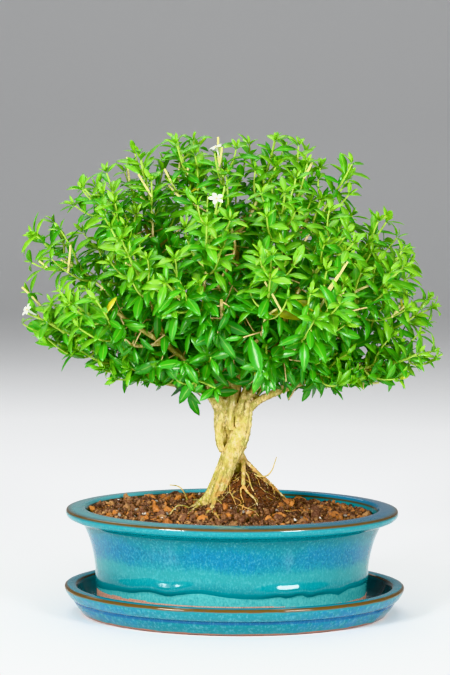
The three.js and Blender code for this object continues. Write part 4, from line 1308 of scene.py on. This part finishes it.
class LEAF_PG_settings(bpy.types.PropertyGroup):
    leaf_length: length_property(
        "Leaf length", "Length of a full-grown leaf on the outside of the crown", 17)
    inner_leaf_length: length_property(
        "Inner leaf length", "Length of the larger leaves inside the crown", 21.5)
    leaf_share: FloatProperty(
        name="Leaf width share", description="Width of a leaf as a share of its length",
        default=0.32, min=0.1, max=1.0)
    thickness: length_property(
        "Leaf thickness", "Thickness of the leaf blades", 0.3)


LEAF_OUTLINE = [0.1, 0.26, 0.86, 1.0, 0.62, 0.04]  # half widths of the rows of a large leaf, by the widest
SMALL_OUTLINE = [0.12, 0.92, 0.9, 0.05]
LEAF_ROWS = [0, 0.1, 0.34, 0.6, 0.84, 1.0]
SMALL_ROWS = [0, 0.32, 0.7, 1.0]


def leaf_template(rows, outline, share, thickness, length, curl):
    """One leaf of length 1 along X, shaped from a grid: its rows are narrowed to the outline, the midrib is
    sunk and the blade arched; both sides get their own material"""
    count = len(rows) - 1
    deselect()
    bpy.ops.mesh.primitive_grid_add(x_subdivisions=count, y_subdivisions=2, size=1, location=(0.5, 0, 0),
                                    calc_uvs=True)
    leaf = settle(bpy.context.object, "leaf_template")
    edit(leaf)
    for order in range(count, -1, -1):
        select_where(lambda co, order=order: abs(co.x - order / count) < 0.01)
        bpy.ops.transform.resize(value=(1, outline[order] * share, 1), center_override=(0, 0, 0))
    # each row moves to its place by way of a spot 2 further on, clear of the rows still to move
    for order in range(count, 0, -1):
        select_where(lambda co, order=order: abs(co.x - order / count) < 0.01)
        bpy.ops.transform.translate(value=(rows[order] - order / count + 2, 0, 0))
    select_where(lambda co: co.x > 1.5)
    bpy.ops.transform.translate(value=(-2, 0, 0))
    for order, row in enumerate(rows):
        select_where(lambda co, row=row: abs(co.x - row) < 0.01)
        bpy.ops.transform.translate(value=(0, 0, 0.07 * row - curl * row * row))
        select_where(lambda co, row=row: abs(co.x - row) < 0.01 and abs(co.y) > 0.001)
        bpy.ops.transform.translate(value=(0, 0, 0.16 * share * outline[order]))
    deselect()
    leaf.data.materials.append(None)
    leaf.data.materials.append(None)
    apply_modifier(leaf, "SOLIDIFY", thickness=thickness / length, offset=-1, material_offset=1,
                   material_offset_rim=1)
    return template_of(leaf)


def leaf_frame(axis, facing, length, width=1.0):
    """Matrix and size for a leaf that points along axis, its upper side towards facing"""
    axis = unit(axis)
    normal = unit(facing - axis * (facing @ axis))
    side = np.cross(normal, axis)
    return np.column_stack([axis * length, side * length * width, normal * length])


FLOWER_CENTRES = [np.array(sum(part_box(node), Vector())) / 2 for node in FLOWER_NODES]
FLOWER_CLEARANCE = 9  # no leaf's middle comes closer to a flower, as seen from the front
SPARSE_SHARE = 0.6  # of the leaves in front of the trunk's top and the lowest limbs, so many are left out
HANGING_SHARE = 0.12  # of the leaves that hang below the crown's lower edge, so many are kept
SKIPPED_SHARE = 0.15
YELLOW_SHARE = 0.003
LEAF_OPENING = (0.8, 1.35)  # angle between a leaf and its shoot, in radians
TIP_OPENING = (0.95, 1.3)  # the same at the foot of a rosette
TIP_CLOSING = 0.36  # how much each layer of a rosette is more upright
TIP_SIZES = (0.86, 0.62, 0.4)  # the leaves of a rosette, from its foot up
FIRST_SIZE = 0.8  # the first pair's
CROWN_STUBS = 24  # pruned stubs all round the crown
LARGE_LEAF = 0.0125  # leaves longer than this take the finer template


def within(place, margin=8):
    """The nearest place, in mm, that lies inside the frame's box by a margin"""
    low, high = [(np.array(corner) - [POT_X, 0, 0]) / MM for corner in CAD_BOX]
    return np.clip(place, low + margin, high - margin)


def fits(matrix, place):
    """Whether a leaf's tip and middle lie inside the frame's box, also with its blade arched"""
    tip = place + matrix[:, 0]
    spots = np.array([tip, tip - 0.33 * matrix[:, 2], place + 0.5 * matrix[:, 0]])
    low, high = np.array(CAD_BOX)
    return bool((spots > low + 0.001).all() and (spots < high - 0.001).all())


def hang_limit(x, y=0.0):
    """How low the crown's leaves hang, in mm, at a place along the pot"""
    uneven = noise.noise(Vector((x / 13, y / 16, 3)))
    return float(np.interp(x, *zip(*HANG_LINE))) + 9 * uneven


def vigour(place):
    """How much longer and more pendant the leaves are low in the middle of the crown"""
    return smooth_step(100, 30, abs(place[0])) * smooth_step(250, 185, place[2])


def aimed(axis, facing, length, width, spot, random):
    """A leaf's matrix: turned up where it would hang below the crown, smaller where it would leave the
    frame's box, and None where it doesn't fit at all"""
    x, y, z = spot / MM
    for flower in FLOWER_CENTRES:
        away = (spot + 0.5 * axis * length - flower) / MM
        if math.hypot(away[0], away[2]) < FLOWER_CLEARANCE and -30 < away[1] < 6:
            return None
    before_trunk = abs(x + 6) < 13 and z < 205
    before_limbs = -42 < x < 62 and z < 171
    if y < 8 and random() < SPARSE_SHARE and (before_trunk or before_limbs):
        return None
    matrix = leaf_frame(axis, facing, length, width)
    lowest = hang_limit(x, y)
    if (spot + matrix[:, 0])[2] / MM < lowest and random() < 1 - HANGING_SHARE:
        matrix = leaf_frame(axis * [1, 1, -0.4] + UP * 0.15, facing, length, width)
        if (spot + matrix[:, 0])[2] / MM < lowest:
            return None
    if not fits(matrix, spot):
        matrix = leaf_frame(unit(axis * [-0.3, 0.7, 0.5] + UP * 0.2), facing, length * 0.85, width)
    if not fits(matrix, spot):
        matrix = matrix * 0.66
    return matrix if fits(matrix, spot) else None


def leaves_on(shoot, sown, templates, random, length, spacing, tone, lightening, first=0.12, rosette=3):
    """Opposite pairs of leaves up a shoot, each pair turned a quarter, closing in a rosette at its tip.
    The first pair lies at this share of the shoot, and the leaves lighten from their tone up to its end"""
    pairs = max(1, round(length_of(shoot) * (1 - first) / spacing))
    turn = varied(random, 0, math.pi)
    for order in range(pairs + rosette):
        layer = order - pairs  # 0 or more in the rosette
        on_tip = layer >= 0
        share = 1.0 if on_tip else first + (1 - first) * order / pairs
        place, way = shoot(share), heading_at(shoot, share)
        side = unit(np.cross(way, UP + 0.01))
        front = np.cross(side, way)
        rich = vigour(place)
        turn += math.pi / 2 + varied(random, -0.3, 0.3)
        for angle in (turn, turn + math.pi):
            out = side * math.cos(angle) + front * math.sin(angle)
            opening = varied(random, *(TIP_OPENING if on_tip else LEAF_OPENING))
            opening -= TIP_CLOSING * layer if on_tip else 0
            axis = unit(way * math.cos(opening) + out * math.sin(opening) + stray(random, 0.3))
            axis = unit(axis - UP * 0.55 * rich)
            # leaves turn to the light: up, and to the front or the back, whichever is nearer
            light = UP * 0.5 + np.array([0, -0.6 if place[1] < 12 else 0.6, 0])
            facing = unit(way * 0.6 - out * 0.3 + unit(place - CROWN_HEART) * 0.3 + light
                          + stray(random, 0.6))
            size = length * varied(random, 0.74, 1.14) * (0.94 + 0.22 * rich)
            if on_tip:
                size *= TIP_SIZES[layer]
            elif order == 0:
                size *= FIRST_SIZE
            # leaves low in the middle of the crown lighten less and are darker: painted shade under the crown
            lighter = (lightening * share + (0.1 * layer if on_tip else 0)) * (1 - 0.7 * rich)
            shade_of = tone + lighter + (varied(random, -0.14, 0.14) - 0.08 * rich)
            shade_of = 1.0 if random() < YELLOW_SHARE or shade_of >= 1 else min(max(shade_of, 0.0), 0.9)
            if random() < SKIPPED_SHARE:
                continue
            spot = (place + out * 0.5 + way * (0.6 * layer if on_tip else 0)) * MM
            spot[0] += POT_X
            matrix = aimed(axis, facing, size, varied(random, 0.85, 1.15), spot, random)
            if matrix is not None:
                template = templates[0 if size > LARGE_LEAF else 1][int(random() * 3)]
                sown.append((template, matrix, spot, shade_of))


def spray_shoots(plan, random):
    """The main shoot of a spray and its side shoots, each with its radii and the size of its leaves"""
    start, heading, length = plan["start"], plan["heading"], plan["length"]
    tip = plan["tip"] + heading * plan["stretch"]
    tip[2] = max(tip[2], hang_limit(tip[0]) + 4)
    tip = within(tip)
    main = bezier(start, start + heading * 0.45 * length + stray(random, 7), tip + stray(random, 3))
    shoots = [(main, [1.05, 0.7], 1.1)]
    count = max(4, round(length / 7))
    turn = varied(random, 0, math.pi)
    for order in range(count):
        t = 0.1 + 0.74 * (order + varied(random, 0.1, 0.9)) / count
        place, way = main(t), heading_at(main, t)
        side = unit(np.cross(way, UP + 0.01))
        front = np.cross(side, way)
        turn += 2.4  # about the golden angle
        # wider to the front and the back, where the sprays stand further apart
        out = unit((side * math.cos(turn) + front * math.sin(turn)) * [0.9, 1.7, 1])
        reach = length * varied(random, 0.38, 0.72) * (1.15 - 0.5 * t)
        end = within(place + unit(way * 0.95 + out + UP * 0.3) * reach)
        end[2] = max(end[2], hang_limit(end[0], end[1]) + 3)
        shoots.append((bezier(place, place + out * 0.45 * reach + way * 0.1 * reach, end), [0.8, 0.55], 0.98))
    return shoots


class MESH_OT_bonsai_sprays(bpy.types.Operator):
    """Add the leafy sprays, one for each of the frame's, and the larger leaves inside the crown"""
    bl_idname = "mesh.bonsai_sprays"
    bl_label = "Leafy sprays"

    def execute(self, context):
        size = context.scene.bonsai_leaves
        templates = [[leaf_template(rows, outline, size.leaf_share, size.thickness, size.leaf_length, curl)
                      for curl in (0.12, 0.26, 0.42)]
                     for rows, outline in ((LEAF_ROWS, LEAF_OUTLINE), (SMALL_ROWS, SMALL_OUTLINE))]
        leaf_sides, twig_bark = make_leaf_sides(), make_twig_bark()
        plans = spray_plans()
        if len(plans) != len(SPRAY_NODES):
            raise ValueError("the plan and the frame differ in their number of sprays")
        anchors = []
        for index, (plan, node) in enumerate(zip(plans, SPRAY_NODES)):
            random = seeded(GROWTH_SEED + index)
            sown, routes = [], []
            for curve, radii, leaf_size in spray_shoots(plan, random):
                routes.append(sampled(curve, radii, 3, random, 0.08))
                anchors.extend(routes[-1][0][:-3])
                leaves_on(curve, sown, templates, random, size.leaf_length * leaf_size, spacing=6.6,
                          tone=0.36, lightening=0.3)
            shoots = stems(f"shoots_{index + 1:02d}", routes, 1)
            away = np.linalg.norm(vertices_of(shoots.data) / MM - plan["start"] - [POT_X / MM, 0, 0], axis=1)
            mark(shoots.data, "tone", 0.15 + 0.85 * smooth_step(-0.2, 0.6, away / plan["length"]))
            dress(copies(f"leaves_{index + 1:02d}", sown), leaf_sides, [node])
            dress(shoots, [twig_bark])
        for part, (curves, spacing) in enumerate((
                ([plan["twig"] for plan in plans], 5.2),
                ([spline(points, 0.3) for _, points in LIMBS], 5.6))):
            self.fill_in(part + 1, curves, spacing, size, templates, leaf_sides, twig_bark)
        self.cut_back(np.array(anchors), twig_bark)
        return {"FINISHED"}

    def fill_in(self, part, curves, spacing, size, templates, leaf_sides, twig_bark):
        """Larger leaves in pairs and small bunches on spurs along the limbs and twigs"""
        random = seeded(GROWTH_SEED + 399 + part)
        sown, routes = [], []
        for curve in curves:
            count = max(1, round(length_of(curve) / spacing))
            for order in range(count):
                t = min(1.0, (order + varied(random, 0.2, 0.9)) / count)
                place, way = curve(t), heading_at(curve, t)
                out = unit(stray(random, 2) - way * 0.2 + UP * 0.2)
                out = unit(out - way * (out @ way) * 0.6)
                reach = varied(random, 5, 20) * (1 + 0.7 * smooth_step(220, 260, place[2]))
                spur = bezier(place, place + out * reach * 0.5, place + out * reach + stray(random, 4))
                routes.append(sampled(spur, [0.6, 0.4], 3, random, 0.08))
                # their lower tone is partly the deeper green of older leaves, partly painted shade inside the
                # crown
                leaves_on(spur, sown, templates, random, size.inner_leaf_length * varied(random, 0.6, 1.05),
                          spacing=7, tone=0.22, lightening=0.12, first=0.4, rosette=2)
        spurs = stems(f"spurs_{part}", routes, 1)
        mark(spurs.data, "tone", 0.3)
        dress(spurs, [twig_bark])
        dress(copies(f"inner_leaves_{part}", sown), leaf_sides)

    def cut_back(self, anchors, twig_bark):
        """Pale straight stubs where shoots were pruned: those that stand out in front, each from the
        nearest shoot, and others all round the crown"""
        random = seeded(STUB_SEED + 1)
        routes = []

        def add_stub(start, end, radii):
            curve = bezier(start, (start + end) / 2 + stray(random, 1.5), end)
            routes.append(sampled(curve, radii, 4, random, 0.03))

        for (base_x, base_z), (x, z) in PRUNED_STUBS:
            bulge = 1 - (x / CROWN["half_length"]) ** 2 - ((z - CROWN["z"]) / CROWN["rise"]) ** 2
            front = 4 - CROWN["half_depth"] * math.sqrt(max(bulge, 0.0))
            base = np.array([base_x, front + 5, base_z])
            start = anchors[np.argmin(np.linalg.norm((anchors - base) * [1, 0.6, 1], axis=1))]
            add_stub(start, within(start + np.array([x - base_x, -3, z - base_z]), 2), [0.9, 0.8])
        for _ in range(CROWN_STUBS):
            start = anchors[int(random() * len(anchors))]
            way = unit(unit(start - CROWN_HEART) + UP * 0.3 + stray(random, 1.0))
            reach, radius = varied(random, 9, 19), varied(random, 0.75, 0.95)
            add_stub(start, within(start + way * reach, 2), [radius, radius * 0.92])
        stubs = stems("pruned_stubs", routes, 2)
        mark(stubs.data, "tone", 0.5)
        dress(stubs, [twig_bark])


# ---- flowers ----

class FLOWER_PG_settings(bpy.types.PropertyGroup):
    petal_length: length_property(
        "Petal length", "Length of each of the five petals", 4.4)
    tube_length: length_property(
        "Tube length", "Length of the tube below the petals", 7.6)


def petal_template():
    """One petal of length 1: narrow foot, broad blade and a blunt point, cupped and bent outwards"""
    deselect()
    bpy.ops.mesh.primitive_grid_add(x_subdivisions=5, y_subdivisions=4, size=1, location=(0.5, 0, 0),
                                    calc_uvs=True)
    petal = settle(bpy.context.object, "petal_template")
    edit(petal)
    for order, wide in enumerate((0.34, 0.5, 0.68, 0.72, 0.56, 0.16)):
        select_where(lambda co, order=order: abs(co.x - order / 5) < 0.01)
        bpy.ops.transform.resize(value=(1, wide, 1), center_override=(0, 0, 0))
        bpy.ops.transform.translate(value=(0, 0, 0.16 * order / 5 - 0.3 * (order / 5) ** 2))
    select_where(lambda co: abs(co.y) > 0.15)
    bpy.ops.transform.translate(value=(0, 0, 0.07))
    deselect()
    apply_modifier(petal, "SOLIDIFY", thickness=0.05, offset=0)
    apply_modifier(petal, "SUBSURF", levels=1, render_levels=1)
    return template_of(petal)


class MESH_OT_bonsai_flowers(bpy.types.Operator):
    """Add the white five-petalled flowers on their tubes, where the frame has them"""
    bl_idname = "mesh.bonsai_flowers"
    bl_label = "Flowers"

    def execute(self, context):
        size = context.scene.bonsai_flowers
        petal = petal_template()
        white, pollen = make_petal(), make_stamen()
        tips = [plan["tip"] * MM + [POT_X, 0, 0] for plan in spray_plans()]
        for index, node in enumerate(FLOWER_NODES):
            random = seeded(FLOWER_SEED + index)
            centre = FLOWER_CENTRES[index]
            nearest = min(tips, key=lambda tip: np.linalg.norm(tip - centre))
            axis = unit(unit(centre - nearest) + np.array([0, -0.35, 0]))
            mouth = centre + axis * 0.002
            side = unit(np.cross(axis, UP + 0.01))
            front = np.cross(side, axis)
            turn = varied(random, 0, math.pi)
            sown = []
            for order in range(5):
                angle = turn + 2 * math.pi * order / 5 + varied(random, -0.08, 0.08)
                out = side * math.cos(angle) + front * math.sin(angle)
                matrix = leaf_frame(out + axis * 0.25, axis, size.petal_length * varied(random, 0.92, 1.06))
                sown.append((petal, matrix, mouth + out * 0.0009, 0.0))
            petals = copies(f"petals_{index + 1}", sown)
            foot = (mouth - axis * size.tube_length) / MM - [POT_X / MM, 0, 0]
            top = mouth / MM - [POT_X / MM, 0, 0]
            tube = stems(f"tube_{index + 1}", [
                ([foot + (top - foot) * t for t in (0, 0.3, 0.7, 0.92, 1.0)],
                 [0.55, 0.6, 0.85, 1.15, 1.3])], 2)
            flower = join(f"blossom_{index + 1}", [petals, tube])
            stamens = stems(f"stamens_{index + 1}", [
                ([top, top + axis * 1.0 + stray(random, 0.6)], [0.26, 0.34]) for _ in range(4)], 1)
            dress(flower, [white], [node])
            dress(stamens, [pollen])
        return {"FINISHED"}


# ---- soil ----

class SOIL_PG_settings(bpy.types.PropertyGroup):
    grain_count: IntProperty(
        name="Granules", description="How many granules lie on the soil", default=5200, min=0, max=6000)
    grain_size: length_property(
        "Granule size", "Width of an ordinary granule", 2.9)


EARTH_PROFILE = [(80, 14.5), (85.6, 19.6), (87.6, 40), (91.6, 56), (98.4, SOIL_EDGE_Z - 0.4)]
GRAIN_REACH = 97.5  # half length of the oval that the granules lie on
CONE_GROUND = 78  # ground higher than this is the root cone, where the crumbs are fine and dark
WIDE_GRAIN = 0.0036  # granules wider than this take the finer template


def grain_template(seed, fine):
    """An angular crumb: an icosphere knocked out of shape"""
    deselect()
    bpy.ops.mesh.primitive_ico_sphere_add(subdivisions=2 if fine else 1, radius=0.5)
    grain = settle(bpy.context.object, "grain_template")
    places = vertices_of(grain.data)
    for place in places:
        lump = noise.noise(Vector(place * 2.2) + Vector((seed * 7.3, 0, 0)))
        small = noise.noise(Vector(place * 7) + Vector((0, seed * 5.1, 0)))
        place *= (1 + 0.55 * lump + 0.5 * small) * np.array([1.2, 0.9, 0.66])
    move_vertices(grain.data, places)
    return template_of(grain)


def random_turn(random):
    """A random turn, as a 3 by 3 matrix"""
    axis = unit(stray(random, 2))
    angle = varied(random, 0, 2 * math.pi)
    cross = np.array([[0, -axis[2], axis[1]], [axis[2], 0, -axis[0]], [-axis[1], axis[0], 0]])
    return np.eye(3) + math.sin(angle) * cross + (1 - math.cos(angle)) * cross @ cross


class MESH_OT_bonsai_soil(bpy.types.Operator):
    """Add the soil: fine earth heaped up to the roots, and the granules that lie on it"""
    bl_idname = "mesh.bonsai_soil"
    bl_label = "Soil and granules"

    def execute(self, context):
        size = context.scene.bonsai_soil
        surface = [(a, SOIL_EDGE_Z - 0.4) for a in np.arange(97, 2, -1.6)]
        earth = turn_oval("earth", EARTH_PROFILE + surface, POT_NARROWING, POT_X, 128)
        places = vertices_of(earth.data)
        for place in places:
            if place[2] > (SOIL_EDGE_Z - 0.5) * MM:
                x, y = (place[0] - POT_X) / MM, place[1] / MM
                rough = 1.2 * noise.noise(Vector((x * 0.25, y * 0.25, 0)))
                rough += 1.1 * noise.noise(Vector((x * 0.6, y * 0.6, 4)))
                place[2] = (inner_soil_height(x, y) - 0.9 + rough) * MM
        move_vertices(earth.data, places)
        shade(earth, 60)
        dress(earth, [make_earth()], ["soil"])

        random = seeded(GRANULE_SEED)
        grains = [[grain_template(seed, fine) for seed in range(5)] for fine in (False, True)]
        sown = [self.grain(order, size.grain_size, grains, random) for order in range(size.grain_count)]
        granules = copies("granules", sown)
        granules.data.polygons.foreach_set("use_smooth", np.zeros(len(granules.data.polygons), bool))
        dress(granules, [make_granules()])
        return {"FINISHED"}

    def grain(self, order, size, grains, random):
        """One granule, with its turn, place and shade: most are brown, some orange, a few grey or white"""
        angle = varied(random, 0, 2 * math.pi)
        share = math.sqrt(random())
        x = GRAIN_REACH * share * math.cos(angle)
        y = oval_width(GRAIN_REACH, POT_NARROWING) * share * math.sin(angle)
        if order % 5 == 0:  # the root cone carries more crumbs
            x, y = CONE_X + 32 * share * math.cos(angle), CONE_Y + 34 * share * math.sin(angle)
        chance = random()
        width = size * (varied(random, 1.4, 2.5) if chance > 0.94 else varied(random, 0.4, 1.25))
        ground = inner_soil_height(x, y)
        on_cone = ground > CONE_GROUND
        if on_cone:
            width = varied(random, 0.9, 2.1) * MM
        tone = varied(random, 0.05, 0.72)
        if chance > 0.975 or chance < 0.04:
            tone = varied(random, 0.74, 0.86)
        elif chance < 0.05:
            tone = varied(random, 0.94, 1.0)
        elif chance < 0.07:
            tone = 0.9
        if on_cone:
            tone = varied(random, 0.0, 0.36)
        matrix = random_turn(random) * width
        place = np.array([x * MM + POT_X, y * MM, (ground - 0.5 + varied(random, -0.4, 0.8)) * MM])
        return grains[1 if width > WIDE_GRAIN else 0][int(random() * 5)], matrix, place, tone


# ---- drain meshes, stage and panel ----

class MESH_OT_bonsai_drain_meshes(bpy.types.Operator):
    """Give the drain meshes under the soil their plastic"""
    bl_idname = "mesh.bonsai_drain_meshes"
    bl_label = "Drain meshes"

    def execute(self, context):
        plastic = make_netting()
        for name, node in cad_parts.items():
            if name.startswith("drain_mesh"):
                node.data.materials.clear()
                node.data.materials.append(plastic)
        return {"FINISHED"}


class STAGE_PG_settings(bpy.types.PropertyGroup):
    floor_colour: FloatVectorProperty(
        name="Floor colour", description="Colour of the plain floor", subtype="COLOR", size=3,
        default=linear("#f2f3f4")[:3], min=0, max=1)
    key_power: FloatProperty(
        name="Light power", description="Power of each of the two main soft lights, in watts",
        default=20, min=0, max=1000)
    camera_distance: FloatProperty(
        name="Camera distance", description="How far in front of the pot the camera stands",
        default=1.502, min=0.2, max=10, unit="LENGTH")


LIGHTS = [  # name, place, height it is aimed at, size and share of the light power
    ("left_softbox", (-0.8, -1.1, 0.62), 0.14, (0.32, 0.46), 1.2),
    ("right_softbox", (0.8, -1.1, 0.62), 0.14, (0.32, 0.46), 0.95),
    ("top_softbox", (0, 0.1, 1.5), 0.2, (1.2, 1.2), 0.5),
    ("back_softbox", (-0.5, 1.1, 1.5), 0.15, (1.0, 1.0), 0.35),
]
CAMERA_HEIGHT = 0.310
CAMERA_TURN = (90 - 4.52, -0.39, 0.25)  # degrees about each axis
CAMERA_LENS = 116.75
WORLD_STRENGTH = 0.3


def add_light(name, place, aim_height, size, power):
    deselect()
    bpy.ops.object.light_add(type="AREA", location=place)
    light = bpy.context.object
    light.name = name
    light.data.shape = "RECTANGLE"
    light.data.size, light.data.size_y = size
    light.data.energy = power
    towards = Vector((0, 0, aim_height)) - Vector(place)
    light.rotation_euler = towards.to_track_quat("-Z", "Y").to_euler()


class OBJECT_OT_bonsai_stage(bpy.types.Operator):
    """Set the stage: plain pale floor, soft studio light and the camera"""
    bl_idname = "object.bonsai_stage"
    bl_label = "Stage"

    def execute(self, context):
        size = context.scene.bonsai_stage
        deselect()
        bpy.ops.mesh.primitive_plane_add(size=6, location=(0, 0, 0))
        floor = settle(bpy.context.object, "floor")
        # the floor's far edge sweeps up into a backdrop
        edit(floor)
        select_where(lambda co: co.y > 2.9)
        for step in ((0, 0.9, 0.4), (0, 0.5, 1.0), (0, 0.1, 3.0)):
            bpy.ops.mesh.extrude_region_move(TRANSFORM_OT_translate={"value": step})
        deselect()
        shade(floor, 70)
        paper, = new_material("Matt white paper")
        finish(paper, (*size.floor_colour, 1), {"Roughness": 0.9})
        floor.data.materials.append(paper)

        for name, place, aim_height, light_size, share in LIGHTS:
            add_light(name, place, aim_height, light_size, size.key_power * share)
        world = bpy.data.worlds.new("Pale studio")
        context.scene.world = world
        world.use_nodes = True
        background = world.node_tree.nodes["Background"]
        background.inputs["Color"].default_value = (1, 1, 1, 1)
        background.inputs["Strength"].default_value = WORLD_STRENGTH

        bpy.ops.object.camera_add(location=(POT_X, -size.camera_distance, CAMERA_HEIGHT))
        camera = bpy.context.object
        camera.rotation_euler = [math.radians(degrees) for degrees in CAMERA_TURN]
        camera.data.sensor_fit = "VERTICAL"
        camera.data.sensor_height = 36
        camera.data.lens = CAMERA_LENS
        context.scene.camera = camera
        context.scene.view_settings.view_transform = "Khronos PBR Neutral"
        return {"FINISHED"}


OPERATORS = (
    MESH_OT_bonsai_saucer, MESH_OT_bonsai_pot, MESH_OT_bonsai_soil, MESH_OT_bonsai_trunk,
    MESH_OT_bonsai_branches, MESH_OT_bonsai_sprays, MESH_OT_bonsai_flowers, MESH_OT_bonsai_drain_meshes,
    OBJECT_OT_bonsai_stage,
)


class VIEW3D_PT_bonsai(bpy.types.Panel):
    """Sidebar panel with the bonsai's pieces in the order they are built"""
    bl_idname = "VIEW3D_PT_bonsai"
    bl_label = "Serissa bonsai"
    bl_space_type = "VIEW_3D"
    bl_region_type = "UI"
    bl_category = "Bonsai"

    def draw(self, context):
        for operator in OPERATORS:
            self.layout.operator(operator.bl_idname)


GROUPS = {
    "bonsai_pottery": POTTERY_PG_settings, "bonsai_wood": WOOD_PG_settings,
    "bonsai_leaves": LEAF_PG_settings, "bonsai_flowers": FLOWER_PG_settings,
    "bonsai_soil": SOIL_PG_settings, "bonsai_stage": STAGE_PG_settings,
}


def register():
    for kind in (*GROUPS.values(), *OPERATORS, VIEW3D_PT_bonsai):
        bpy.utils.register_class(kind)
    for name, kind in GROUPS.items():
        setattr(bpy.types.Scene, name, PointerProperty(type=kind))


def unregister():
    for name in GROUPS:
        delattr(bpy.types.Scene, name)
    for kind in (VIEW3D_PT_bonsai, *reversed(OPERATORS), *reversed(GROUPS.values())):
        bpy.utils.unregister_class(kind)


def main():
    register()
    bpy.ops.mesh.bonsai_saucer()
    bpy.ops.mesh.bonsai_pot()
    bpy.ops.mesh.bonsai_soil()
    bpy.ops.mesh.bonsai_trunk()
    bpy.ops.mesh.bonsai_branches()
    bpy.ops.mesh.bonsai_sprays()
    bpy.ops.mesh.bonsai_flowers()
    bpy.ops.mesh.bonsai_drain_meshes()
    bpy.ops.object.bonsai_stage()
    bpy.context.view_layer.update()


if __name__ == "__main__":
    main()
